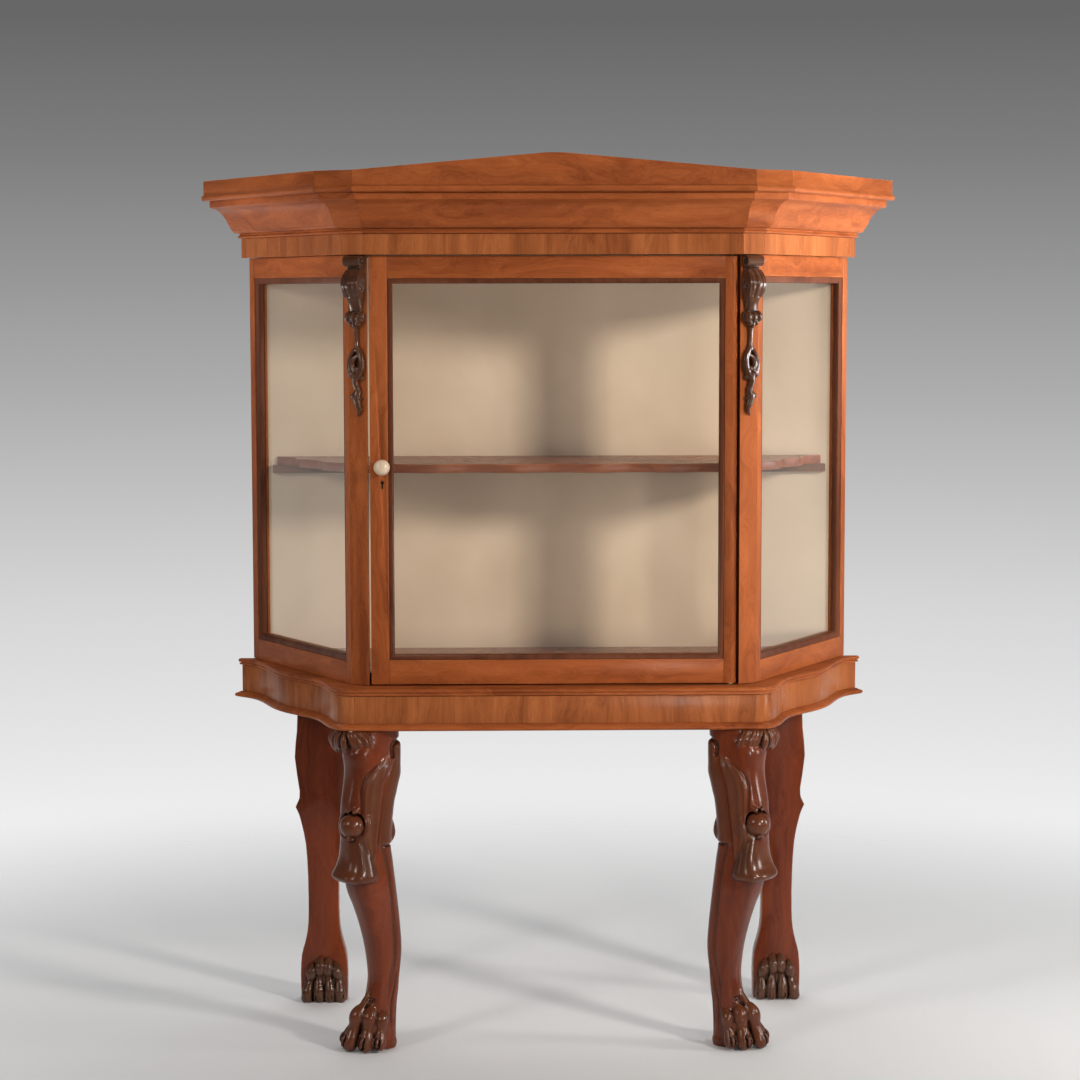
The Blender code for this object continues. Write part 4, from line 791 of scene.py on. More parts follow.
    def skin(self):
        """Points and four-sided faces of the surface, facing outwards."""
        field = self.field
        for k in range(3):
            ends = [slice(None)] * 3
            for end in (0, -1):
                ends[k] = end
                field[tuple(ends)] = np.maximum(field[tuple(ends)], self.step * 0.5)
        shape = np.array(field.shape)
        strides = np.array([shape[1] * shape[2], shape[2], 1])
        cells, weights, faces = [], [], []
        for k in range(3):
            a = np.take(field, range(shape[k] - 1), axis=k)
            b = np.take(field, range(1, shape[k]), axis=k)
            at = np.argwhere((a < 0) != (b < 0))
            start = a[tuple(at.T)].astype(float)
            end = b[tuple(at.T)].astype(float)
            place = at.astype(float)
            place[:, k] += start / (start - end)
            j, i = (k + 1) % 3, (k + 2) % 3
            corners = []
            for dj, di in ((1, 1), (0, 1), (0, 0), (1, 0)):
                cell = at.copy()
                cell[:, j] -= dj
                cell[:, i] -= di
                corners.append(cell @ strides)
                weights.append(place)
            cells.extend(corners)
            quads = np.array(corners).T
            quads[start > 0] = quads[start > 0][:, ::-1]
            faces.append(quads)
        weights = np.concatenate(weights)
        used, back = np.unique(np.concatenate(cells), return_inverse=True)
        count = np.bincount(back)
        points = np.array([np.bincount(back, weights[:, k]) / count for k in range(3)]).T
        quads = np.searchsorted(used, np.concatenate(faces))
        return points * self.step + self.low, quads

    def relaxed(self, points, quads):
        """Evens the grid's small steps out and brings the points back to the surface."""
        sides = np.concatenate([quads[:, [k, (k + 1) % 4]] for k in range(4)])
        count = np.bincount(sides[:, 0], minlength=len(points))[:, None]
        for _ in range(RELAX_TURNS):
            mean = np.array([np.bincount(sides[:, 0], points[sides[:, 1], k], len(points)) for k in range(3)]).T
            points = 0.5 * points + 0.5 * mean / count
            points = points - self.slope(points) * np.clip(self.sample(points), -self.step, self.step)[:, None] * 0.7
        return points

    @staticmethod
    def largest(points, quads):
        """The largest connected surface, without the tiny voids left where cuts meet inside the block."""
        label = np.arange(len(points))
        settled = False
        while not settled:
            joined = label.copy()
            np.minimum.at(joined, quads.ravel(), np.repeat(label[quads].min(axis=1), 4))
            joined = joined[joined]
            settled = (joined == label).all()
            label = joined
        kept = label == np.bincount(label).argmax()
        return points[kept], (np.cumsum(kept) - 1)[quads[kept[quads[:, 0]]]]

    def mesh(self, name, matrix):
        """The carved surface as a smooth mesh, with how hollow and how carved each point is."""
        points, quads = self.largest(*self.skin())
        points = self.relaxed(points, quads)
        normals = self.slope(points)
        # How closed in each point lies, which later darkens its colour as old polish and painted shade
        hollow = np.zeros(len(points))
        for reach in (HOLLOW_REACH, HOLLOW_REACH / 2):
            hollow += np.clip(1 - self.sample(points + normals * reach) / reach, 0, 1) / 2
        made = bpy.data.meshes.new(name)
        turned = points @ np.array(matrix.to_3x3()).T + np.array(matrix.translation)
        if matrix.determinant() < 0:
            quads = quads[:, ::-1]
        made.vertices.add(len(turned))
        made.vertices.foreach_set("co", turned.astype(np.float32).ravel())
        made.loops.add(quads.size)
        made.loops.foreach_set("vertex_index", quads.astype(np.int32).ravel())
        made.polygons.add(len(quads))
        made.polygons.foreach_set("loop_start", np.arange(0, quads.size, 4, dtype=np.int32))
        made.update(calc_edges=True)
        made.shade_smooth()
        set_values(made, "hollow", np.clip((hollow - HOLLOW_START) * HOLLOW_GAIN, 0, 1))
        if self.plain is not None:
            depth = np.abs(self.sample(points, self.plain))
            set_values(made, "carved", np.clip((depth - CARVED_START) / CARVED_SPAN, 0, 1))
        return made


def carve_step(size):
    return size


MIRROR = Matrix.Scale(-1, 4, Vector((1, 0, 0)))
PAIR_SEEDS = {"right": 3, "left": 8}


def carved_pair(name, block, place, slot):
    """The right piece of a carved pair as it lies, and the left one as its mirror image."""
    for side, matrix in (("right", place), ("left", MIRROR @ place)):
        node = name + "_" + side
        mesh = block.mesh(node, matrix)
        lay_grain(mesh, GRAIN_RUNS["upright"], PAIR_SEEDS[side])
        add_piece(node + "_carved", mesh, slot, BODY_OF[node], [node])


# Front legs

LEG_ROWS = smooth_rows(LEG_SECTIONS, 6)[::-1]


def leg_back(z):
    """Forward place of the plain leg's back at a height."""
    forward, deep, _ = across_rows(LEG_ROWS, z)
    return forward - deep


def leg_flank(u, z):
    """How far out the plain leg's side lies at a forward place and height."""
    forward, deep, wide = across_rows(LEG_ROWS, z)
    share = min(abs((u - forward) / deep), 0.985)
    return wide * (1 - share ** LEG_SQUARENESS) ** (1 / LEG_SQUARENESS)


def on_flank(line, side, lift, radius):
    """A line of forward places and heights, laid on one side of the leg."""
    return [(u, side * (leg_flank(u, z) + lift), z, radius) for u, z in line]


def carve_leaf(block):
    """Two broad ribs of a long leaf on each side of the knee, the front one fluted and with a cut edge."""
    edge = smooth_rows(LEAF_EDGE, 6)[::-1]
    vein = smooth_rows(LEAF_VEIN, 6)[::-1]
    curve = smooth_rows(RIB_CURVE, 5)

    def height(u, v, z):
        forward, deep, wide = across_rows(LEG_ROWS, z)
        front = np.interp(z, edge[:, 1], edge[:, 0])
        valley = np.interp(z, vein[:, 1], vein[:, 0])
        share = (u - valley) / np.maximum(front - valley, 0.002)
        raised = faded(np.interp(share, curve[:, 0], curve[:, 1]), z, (0.304, 0.320), (0.452, 0.472))
        behind = (u - forward + deep) / np.maximum(valley - forward + deep, 0.002)
        crown = BACK_RIB * np.clip(1 - (2 * np.clip(behind, -0.2, 1) - 1) ** 2, -0.2, 1)
        crown = faded(crown, z, (0.3285, 0.3335), (0.484, 0.494))
        groove = faded(0.0008 * np.exp(-((u - valley) / 0.0016) ** 2), z, (0.306, 0.330), (0.470, 0.482))
        return (np.where(u < valley, crown, raised) - groove) * eased_step(np.abs(v) / wide, 0.36, 0.74)

    block.relief(0.300, 0.500, height)
    back = leg_back(NOTCH)
    notch = ((back - 0.005, 0.4935), (back + 0.006, NOTCH), LEAF_CURL[0])
    for side in SIDES:
        block.groove(on_flank(smooth_rows(notch, 3), side, -0.0005, 0.0032), 0.0012)
        block.groove(on_flank(smooth_rows(LEAF_CURL, 3), side, 0.0004, 0.0030), 0.0012)


def carve_strip(block):
    """The flat strip down the back edge of the shaft, the ear above it, and the flutes by the heel."""
    back = leg_back(0.328)
    step = [(u, STRIP_STEP) for u in np.linspace(back - 0.004, back + 0.0260, 6)]
    for side in SIDES:
        groove = []
        for z in np.linspace(STRIP_TOP, STRIP_FOOT, 26):
            u = leg_back(z) + across_rows(STRIP_WIDTH, z)[0]
            groove.extend(on_flank([(u, z)], side, 0.0008, across_rows(STRIP_GROOVE, z)[0]))
        block.groove(groove, 0.0022)
        block.groove(on_flank(step, side, 0.0, 0.0024), 0.0010)
        block.limb([(leg_back(z) + u, side * EAR_SIDE, z, radius) for z, u, radius in EAR], 0.0024)

    def flutes(u, v, z):
        turn = np.arctan2(np.abs(v), across_rows(LEG_ROWS, z)[0] - u)
        fade = faded(1, z, (0.020, 0.050), (0.105, 0.155)) * (1 - eased_step(turn, 1.60, 1.95))
        return -0.0036 * np.exp(-(np.sin(turn * 6.0 + 22 * z) / 0.45) ** 2) * fade

    block.relief(0.015, 0.160, flutes)


def carve_knee(block):
    """The ball in its cup, the small calyx above it and the bell that hangs below."""
    block.stack(BELL_SECTIONS, BELL_SQUARENESS, 0.0030, BELL_SIDE)
    block.egg((0.1050, BELL_SIDE, 0.3130), (0.0280, 0.0240, 0.0230), 0.006, -1)
    turns = np.linspace(-2.1, 2.1, 22)
    rim = [(0.0562 + 0.0276 * math.cos(t), BELL_SIDE + 0.0352 * math.sin(t), 0.2832, 0.0030) for t in turns]
    block.limb(rim, 0.0012, steps=1)
    ball = np.array(BALL)
    way = np.array(BALL_WAY)
    way /= np.linalg.norm(way)
    across = np.cross((0, 0, 1), way)
    across /= np.linalg.norm(across)
    rise = np.cross(way, across)
    cup = []
    for t in np.linspace(0, 2 * math.pi, 33):
        place = ball - way * 0.0078 + (across * math.cos(t) + rise * math.sin(t)) * (BALL_RADIUS + 0.0040)
        cup.append((*place, 0.0046))
    block.limb(cup, 0.0050, steps=1)
    block.egg(ball + way * 0.0010 + rise * 0.0016, [BALL_RADIUS + 0.0016] * 3, 0.0008, -1)
    block.egg(ball, [BALL_RADIUS] * 3, 0.0002)
    for aside, size in CALYX_ROWS:
        for out, up, share in CALYX_BERRIES:
            block.egg(ball + way * out + across * aside + rise * up, [size * share] * 3, 0.0003)
    for aside, size in LOW_BERRIES:
        block.egg(ball + way * 0.0070 + across * aside - rise * (BALL_RADIUS + 0.0008), [size] * 3, 0.0006)


def carve_tufts(block, reeds):
    """Rows of curled reeds that hang under the base's corner, with a smooth lobe between them."""
    block.limb(TUFT_ROOT, 0.003, steps=1)
    for twist, (u0, v0), (along_u, along_v), (out_u, out_v) in TUFTS:
        def at(along, out):
            return u0 + along_u * along + out_u * out, v0 + along_v * along + out_v * out
        for half, height, radius in ((0.0095, 0.494, 0.0085), (0.0075, 0.486, 0.0075)):
            block.limb([(*at(end * half, 0.0), height, radius) for end in SIDES], 0.002)
        for i in range(reeds):
            share = (i + 0.5) / reeds * 2 - 1
            along = share * 0.0165
            short = 0.008 * share * share + 0.0025 * (i % 2)
            wave = 0.0011 * math.sin(i * 2.4)
            block.limb((
                (*at(along * 0.85 - twist, 0.003), 0.513, 0.0024),
                (*at(along * 1.00 - twist * 0.5, 0.0080 + wave), 0.505, 0.0029),
                (*at(along * 1.05 + twist * 0.3, 0.0105 + wave), 0.494 + short * 0.2, 0.0033),
                (*at(along * 0.95 + twist * 0.8, 0.0085 + wave), 0.4830 + short * 0.6, 0.0032),
                (*at(along * 0.72 + twist * 1.1, 0.0050), 0.4755 + short, 0.0024),
            ), 0.0003)
    block.limb(TUFT_LOBE, 0.0004)


def carve_paw(block):
    """Four toes with a knuckle, a pad and a claw each, tendons over the instep, and the heel."""
    block.egg((-0.0005, 0, 0.0085), (0.0185, 0.0208, 0.0125), 0.0030)
    block.egg((0.0205, 0.0005, 0.0360), (0.0245, 0.0225, 0.0320), 0.0050)
    for knuckle, pad, size, rise in TOES:
        knuckle = np.array(knuckle)
        run = np.array(pad) - knuckle
        turn = math.atan2(knuckle[1], knuckle[0] - 0.002)
        tendon = []
        for z, grow, radius in TENDON_LINE:
            forward, deep, wide = across_rows(LEG_ROWS, z)
            tendon.append((forward + math.cos(turn) * deep * grow, math.sin(turn) * wide * grow, z, radius * size))
        tendon.append((*(knuckle - run * 0.95), 0.0690 * rise, 0.0070 * size))
        block.limb(tendon, 0.0030)
        toe = [(*(knuckle + run * share), TOE_FOOT + (z - TOE_FOOT) * rise, radius * size)
               for share, z, radius in TOE_LINE]
        block.limb(toe, 0.0006)
    for knuckle, pad, size, _ in TOES:
        pad = np.array(pad)
        way = pad - np.array(knuckle)
        way = way / np.linalg.norm(way)
        for deep, radius, sign in NAIL_PARTS:
            nail = []
            for t in NAIL_TURNS:
                place = pad + way * ((NAIL_AHEAD + (TOE_TIP - deep) * math.cos(t)) * size)
                nail.append((*place, NAIL_HEIGHT + (TOE_TIP - deep) * math.sin(t) * size, radius * size))
            block.limb(nail, 0.0008, sign, steps=1)
    block.limb([(0.0270, -0.0145, 0.0800, 0.0030), (0.0295, -0.0060, 0.0812, 0.0030)], 0.0006, -1)
    block.limb([(0.0300, -0.0095, 0.0790, 0.0026), (0.0370, -0.0010, 0.0690, 0.0020)], 0.0010, -1)


def front_leg_block(step, reeds):
    """A front leg in its own frame: forward, to the side, up."""
    block = Carving((-0.036, -0.062, -0.006), (0.100, 0.068, 0.520), step)
    block.stack(LEG_SECTIONS, LEG_SQUARENESS, 0.0)
    block.plain = block.field.copy()
    carve_leaf(block)
    carve_strip(block)
    carve_knee(block)
    carve_paw(block)
    carve_tufts(block, reeds)
    block.clip(2, LEG_TOP, 1)
    block.clip(2, 0.0, -1)
    return block


# Rear paws and corbels

def rear_paw_block(step):
    """A rear paw in its own frame: across, out from the board, up."""
    block = Carving((-0.043, -0.004, -0.004), (0.043, 0.028, 0.082), step)
    block.egg((0, 0, 0.026), (0.0345, 0.0085, 0.0420), 0.0)
    for i, (across, size) in enumerate(REAR_TOES):
        drop = 0.07 * (1 - size)
        toe = []
        for z, out, radius in REAR_TOE_LINE:
            sway = 0.0010 * math.sin(z * 110 + i * 2.0)
            toe.append((across * (1.06 - 0.36 * z / REAR_TOE_TOP) + sway, out * size, z - drop * z / REAR_TOE_TOP,
                        radius * (0.92 + 0.08 * size)))
        block.limb(toe, 0.0005)
        for deep, radius, sign in REAR_NAIL_PARTS:
            reach = REAR_TOE_TIP - deep
            nail = [(across * 1.04, (REAR_NAIL_OUT + reach * math.cos(t)) * size,
                     REAR_NAIL_HEIGHT + reach * math.sin(t), radius) for t in REAR_NAIL_TURNS]
            block.limb(nail, 0.0005, sign, steps=1)
    block.clip(1, 0.0003, -1)
    block.clip(2, 0.0, -1)
    return block


def corbel_console(block):
    """The swelling body of a corbel, with its flutes, raised edges and side scrolls."""
    rows = smooth_rows(CONSOLE_SECTIONS, 6)
    cuts, (x, y, z) = block.part((-0.02, -0.01, -0.004), (0.02, 0.04, 0.106))
    wide, deep = [found.astype(np.float32) for found in across_rows(rows, z)]
    face = y - deep * (1 - 0.16 * (np.abs(x) / wide) ** 2)
    flank = np.abs(x) - wide * (1 - 0.10 * np.clip(y / deep, 0, 1))
    apart = np.maximum(0.004 - np.abs(face - flank), 0) / 0.004
    body = np.maximum(face, flank) + apart * apart * 0.001
    body = np.maximum(body, np.maximum(0.0010 - z, z - 0.100)) * 0.8
    block.merge(body, cuts, 0.0, 1)
    swell = smooth_rows(CONSOLE_SECTIONS[3:9], 4)
    turns = np.linspace(0.4, 5.6, 26)
    for aside in SIDES:
        block.groove([(aside * 0.0058 * w / 0.015, d * 0.97 + 0.0021, drop, 0.0026) for drop, w, d in swell], 0.0022)
        block.limb([(aside * (w * 0.90), d * 0.84, drop, 0.0012) for drop, w, d in swell], 0.0010, steps=1)
        block.groove([(aside * 0.0152, 0.0125 + 0.0013 * t * math.sin(t), 0.049 - 0.0019 * t * math.cos(t), 0.0013)
                      for t in turns], 0.0012)


def corbel_block(step):
    """A corbel in its own frame: across, out from the post, down."""
    block = Carving((-0.019, -0.003, -0.004), (0.019, 0.032, 0.254), step)
    corbel_console(block)
    block.limb([(end * 0.0140, 0.0098, 0.0100, 0.0084) for end in SIDES], 0.0008)
    block.paired_eggs(ROLL_EYES)
    block.limb([(end * 0.0112, 0.0068, 0.0965, 0.0078) for end in SIDES], 0.0006)
    block.paired_eggs(LEAF_LOBES)
    block.egg((0, 0.0105, 0.0970), (0.0044, 0.0064, 0.0090), 0.0005)
    block.egg((0, 0.0070, 0.1070), (0.0042, 0.0056, 0.0070), 0.0005)
    for limb in DROP_LIMBS:
        block.limb(limb, 0.0006)
    for across, out, drop, radius in DROP_BERRIES:
        block.egg((across, out, drop), (radius, radius * 0.8, radius), 0.0005)
    block.clip(1, 0.0, -1)
    for side in SIDES:
        block.clip(0, side * CORBEL_HALF_WIDTH, side)
    return block


# Where the post's canted face ends at the side, and how far the corbel stands off the face
POST_HEEL = 0.318588
CORBEL_STANDOFF = 0.0003


def corbel_place():
    """The right corbel's frame on its post's canted face."""
    low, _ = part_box("corner_post_right")
    corner = Vector((low.x, low.y, 0))
    run = GRAIN_RUNS["facet"]
    out = Vector((run.y, -run.x, 0))
    middle = corner + run * (POST_HEEL - corner.x) / run.x / 2 + out * CORBEL_STANDOFF
    matrix = Matrix((run, out, (0, 0, -1))).transposed().to_4x4()
    matrix.translation = (middle.x, middle.y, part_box("frieze_front")[0].z)
    return matrix


# Turned knob and keyhole edge

# Keyhole: radius of its eye, half width of its slot, drop of its foot, and its place from the stile and the lock
KEYHOLE_EYE = 0.0024
KEYHOLE_SLOT = 0.0008
KEYHOLE_FOOT = -0.009
KEYHOLE_IN = 0.019
KEYHOLE_DROP = 0.010
# Brass edge of the keyhole: how far each of its rings lies outside the hole, and how far it stands out
KEYHOLE_RINGS = ((0.0001, -0.004), (0.0001, 0.0003), (0.0007, 0.0003), (0.0007, -0.004))


def join_rings(bm, rings):
    """Faces from each ring of points to the next."""
    for low, high in zip(rings, rings[1:]):
        for i in range(len(low)):
            j = (i + 1) % len(low)
            bm.faces.new((low[i], low[j], high[j], high[i]))


def turned_mesh(name, profile, centre):
    """A turned piece that stands out to the front from a place on the door."""
    turns = np.arange(KNOB_STEPS) * 2 * math.pi / KNOB_STEPS
    bm = bmesh.new()
    rings = []
    for radius, out in smooth_rows(profile[1:-1], 4):
        rings.append([bm.verts.new((centre.x + radius * math.cos(t), centre.y - out, centre.z + radius * math.sin(t)))
                      for t in turns])
    join_rings(bm, rings)
    for ring, row in ((rings[0], profile[0]), (rings[-1], profile[-1])):
        pole = bm.verts.new((centre.x, centre.y - row[1], centre.z))
        for i in range(KNOB_STEPS):
            bm.faces.new((ring[i], ring[(i + 1) % KNOB_STEPS], pole))
    bmesh.ops.recalc_face_normals(bm, faces=bm.faces)
    mesh = kept_mesh(bm, name)
    smoothed(mesh, KNOB_ANGLE)
    return mesh


def keyhole_outline(grow):
    """The keyhole's outline about its eye, made larger by a width."""
    eye = KEYHOLE_EYE + grow
    slot = KEYHOLE_SLOT + grow
    foot = KEYHOLE_FOOT - grow
    start = math.asin(min(slot / eye, 1.0))
    turns = np.linspace(-math.pi / 2 + start, 1.5 * math.pi - start, 25)
    return [*[(eye * math.cos(t), eye * math.sin(t)) for t in turns], (-slot, foot), (slot, foot)]


def keyhole_mesh(name, centre):
    """A thin brass edge round the keyhole."""
    bm = bmesh.new()
    rings = [[bm.verts.new((centre.x + x, centre.y - out, centre.z + z)) for x, z in keyhole_outline(grow)]
             for grow, out in KEYHOLE_RINGS]
    join_rings(bm, [*rings, rings[0]])
    bmesh.ops.recalc_face_normals(bm, faces=bm.faces)
    return kept_mesh(bm, name)


# Screws of the back panel

SCREW_INSET = 0.012
SCREW_CORNERS = 18
SLOT_WIDTH = 0.0009
SLOT_DEPTH = 0.0010


def screw_tree():
    """A tree that sets slotted screw heads along a line."""
    tree, given, out = new_group(
        "screw_row", "GeometryNodeTree",
        (("Line", "Geometry"), ("Spacing", "Float", 0.15), ("Head radius", "Float", 0.0036),
         ("Head height", "Float", 0.0012), ("Seed", "Int", 7), ("Finish", "Material")),
        (("Screws", "Geometry"),))

    def step(kind, links, **values):
        return add_node(tree, kind, links, **values).outputs

    curve = step("GeometryNodeMeshToCurve", {"Mesh": given["Line"]})
    spaced = step("GeometryNodeResampleCurve", {"Curve": curve[0], "Length": given["Spacing"]}, mode="LENGTH")
    head = step("GeometryNodeMeshCylinder", {
        "Vertices": SCREW_CORNERS, "Radius": given["Head radius"], "Depth": given["Head height"]})
    length = times(tree, given["Head radius"], 3.0)
    size = step("ShaderNodeCombineXYZ", {"X": length, "Y": SLOT_WIDTH, "Z": SLOT_DEPTH})
    slot = step("GeometryNodeMeshCube", {"Size": size[0]})
    up = step("ShaderNodeCombineXYZ", {"Z": times(tree, given["Head height"], 0.5)})
    raised = step("GeometryNodeTransform", {"Geometry": slot["Mesh"], "Translation": up[0]})
    cut = step("GeometryNodeMeshBoolean", {"Mesh 1": head["Mesh"], "Mesh 2": raised[0]}, operation="DIFFERENCE")
    spin = step("FunctionNodeRandomValue", {3: math.pi, "Seed": given["Seed"]}, data_type="FLOAT")
    turn = step("ShaderNodeCombineXYZ", {"X": -math.pi / 2, "Y": spin[1]})
    placed = step("GeometryNodeInstanceOnPoints", {"Points": spaced[0], "Instance": cut["Mesh"], "Rotation": turn[0]})
    real = step("GeometryNodeRealizeInstances", {"Geometry": placed[0]})
    done = step("GeometryNodeSetMaterial", {"Geometry": real[0], "Material": given["Finish"]})
    feed(tree, out, {0: done[0]})
    return tree


def plain_from_nodes(name, points, tree, values):
    """Runs a tree on a closed line and keeps its result as a plain mesh."""
    line = bpy.data.meshes.new(name + "_line")
    line.from_pydata(points, [(i, (i + 1) % len(points)) for i in range(len(points))], [])
    holder = new_object(name + "_line", line)
    modifier = holder.modifiers.new("nodes", "NODES")
    modifier.node_group = tree
    for item in tree.interface.items_tree:
        if item.in_out == "INPUT" and item.name in values:
            modifier[item.identifier] = values[item.name]
    graph = bpy.context.evaluated_depsgraph_get()
    shown = holder.evaluated_get(graph)
    mesh = bpy.data.meshes.new_from_object(shown, preserve_all_data_layers=True, depsgraph=graph)
    mesh.name = name
    bpy.data.objects.remove(holder)
    return mesh


# Stage

# Backdrop: the sine of the height above the horizon, and the grey seen there
BACKDROP = (
    (-0.36, 0.66), (-0.29, 0.72), (-0.235, 0.83), (-0.195, 0.865), (-0.158, 0.77), (-0.115, 0.67), (-0.072, 0.53),
    (-0.033, 0.41), (0.012, 0.30), (0.056, 0.205), (0.105, 0.135), (0.22, 0.110))
FLOOR_RADIUS = 3.4
# Lamps: name, place, what they point at, width and height, power, colour, and spread in degrees
LAMPS = (
    ("right_box", (2.35, -2.35, 1.95), (0, 0, 1.20), (0.34, 0.44), 18.5, (1.0, 0.94, 0.87), 90),
    ("left_box", (-2.35, -2.35, 1.95), (0, 0, 1.0), (0.50, 0.66), 17.0, (1.0, 0.95, 0.89), 150),
    ("right_side", (1.45, -0.02, 1.08), (0.45, 0.03, 1.34), (0.20, 0.30), 5.0, (0.97, 0.98, 1.0), 80),
    ("left_side", (-1.40, -0.06, 0.80), (-0.45, 0.03, 1.36), (0.20, 0.30), 0.60, (1.0, 0.95, 0.89), 50),
    ("right_low", (1.55, -0.30, 0.62), (0.3, -0.1, 0.46), (0.13, 0.42), 6.5, (1.0, 0.96, 0.91), 180),
    ("left_low", (-1.55, -0.34, 0.68), (-0.3, -0.1, 0.42), (0.13, 0.42), 0.8, (1.0, 0.96, 0.91), 180),
    ("leg_front", (1.0, -2.6, 0.70), (0.30, -0.15, 0.36), (0.24, 0.32), 0.95, (1.0, 0.94, 0.87), 40),
    ("left_strip", (-1.35, 1.75, 0.85), (-0.45, 0.0, 0.70), (0.18, 1.10), 0.5, (1.0, 0.96, 0.92), 180),
    ("floor_wash", (0.0, 2.2, 2.9), (0, 0.9, 0), (3.6, 1.2), 40, (0.985, 0.99, 1.0), 180),
)


def shaded_panes():
    """The panes, kept out of the lamps' reach so that they show the backdrop and not the lamps."""
    panes = bpy.data.collections.new("shaded_panes")
    for node in ("door_glass", *both("side_glass")):
        panes.objects.link(NODES[node])
    for row in panes.collection_objects:
        row.light_linking.link_state = "EXCLUDE"
    return panes


def make_lights():
    panes = shaded_panes()
    for name, place, target, size, power, colour, spread in LAMPS:
        light = bpy.data.lights.new(name, "AREA")
        light.shape = "RECTANGLE"
        light.size, light.size_y = size
        light.energy = power
        light.color = colour
        light.spread = math.radians(spread)
        made = new_object(name, light)
        made.location = place
        made.rotation_euler = (Vector(target) - Vector(place)).to_track_quat("-Z", "Y").to_euler()
        made.light_linking.receiver_collection = panes


def make_world():
    """A studio backdrop that is dim in reflections towards the front, and an even fill for all other light."""
    world = bpy.data.worlds.new("studio")
    bpy.context.scene.world = world
    world.use_nodes = True
    tree = world.node_tree
    tree.nodes.clear()
    way = add_node(tree, "ShaderNodeTexCoord").outputs["Generated"]
    way = add_node(tree, "ShaderNodeSeparateXYZ", {"Vector": way}).outputs
    low, high = BACKDROP[0][0], BACKDROP[-1][0]
    rows = [((level - low) / (high - low), (grey, grey, grey, 1)) for level, grey in BACKDROP]
    backdrop = colour_ramp(tree, ranged(tree, way["Z"], low, high), rows)
    dimmed = ranged(tree, way["Y"], -0.2, 0.9, 0.12, 1.0)
    shown, mirrored, fill = [
        add_node(tree, "ShaderNodeBackground", {"Color": colour, "Strength": strength})
        for colour, strength in ((backdrop, 1.0), (backdrop, dimmed), ((1.0, 0.985, 0.965, 1), 0.30))]
    path = add_node(tree, "ShaderNodeLightPath").outputs
    seen = maths(tree, "MAXIMUM", path["Is Camera Ray"], path["Is Transmission Ray"])
    mixed = mixed_shader(tree, seen, mixed_shader(tree, path["Is Glossy Ray"], fill, mirrored), shown)
    add_node(tree, "ShaderNodeOutputWorld", {"Surface": mixed.outputs[0]})


def floor_material():
    """A pale matt floor that fades out into the backdrop."""
    made, tree, shader = bare_material("pale_floor", (0.72, 0.72, 0.72))
    feed(tree, shader, {"Base Color": (0.735, 0.750, 0.765, 1.0), "Roughness": 0.75})
    place = add_node(tree, "ShaderNodeTexCoord").outputs["Object"]
    far = add_node(tree, "ShaderNodeVectorMath", {0: place}, operation="LENGTH").outputs["Value"]
    fade = ranged(tree, far, 0.6, FLOOR_RADIUS * 0.65, interpolation_type="SMOOTHSTEP")
    mixed = mixed_shader(tree, fade, shader, add_node(tree, "ShaderNodeBsdfTransparent"))
    feed(tree, tree.nodes["Material Output"], {"Surface": mixed.outputs[0]})
    return made


def make_floor():
    bm = bmesh.new()
    bmesh.ops.create_circle(bm, cap_ends=True, segments=96, radius=FLOOR_RADIUS)
    mesh = kept_mesh(bm, "floor")
    mesh.materials.append(floor_material())
    new_object("floor", mesh)


def make_camera():
    data = bpy.data.cameras.new("front_camera")
    data.sensor_width = 36.0
    data.lens = CAMERA_LENS
    ahead = Vector((math.sin(CAMERA_YAW), math.cos(CAMERA_YAW), 0))
    right = Vector((math.cos(CAMERA_YAW), -math.sin(CAMERA_YAW), 0))
    rise = Vector((0, 0, 1))
    way = ahead * math.cos(CAMERA_PITCH) - rise * math.sin(CAMERA_PITCH)
    up = ahead * math.sin(CAMERA_PITCH) + rise * math.cos(CAMERA_PITCH)
    across = right * math.cos(CAMERA_ROLL) + up * math.sin(CAMERA_ROLL)
    over = up * math.cos(CAMERA_ROLL) - right * math.sin(CAMERA_ROLL)
    matrix = Matrix((across, over, -way)).transposed().to_4x4()
    matrix.translation = CAMERA_PLACE
    made = new_object("front_camera", data)
    made.matrix_world = matrix
    bpy.context.scene.camera = made


# Operators

class CabinetStep:
    bl_options = {"REGISTER", "UNDO"}


class CABINET_OT_stage(CabinetStep, bpy.types.Operator):
    """Sets up the floor, backdrop, lights and camera"""
    bl_idname = "cabinet.stage"
    bl_label = "Stage"

    def execute(self, context):
        context.scene.view_settings.view_transform = "Standard"
        make_world()
        make_floor()
        make_camera()
        make_lights()
        return {"FINISHED"}


class CABINET_OT_base(CabinetStep, bpy.types.Operator):
    """Finishes the serpentine base"""
    bl_idname = "cabinet.base"
    bl_label = "Base"

    def execute(self, context):
        ease_boards((
            ("front", 0.6, ["base_top_board", "base_bottom_board", "base_back_rail"]),
            ("upright", 0.3, ["base_front_rail", *both("base_side_rail")]),
        ))
        return {"FINISHED"}


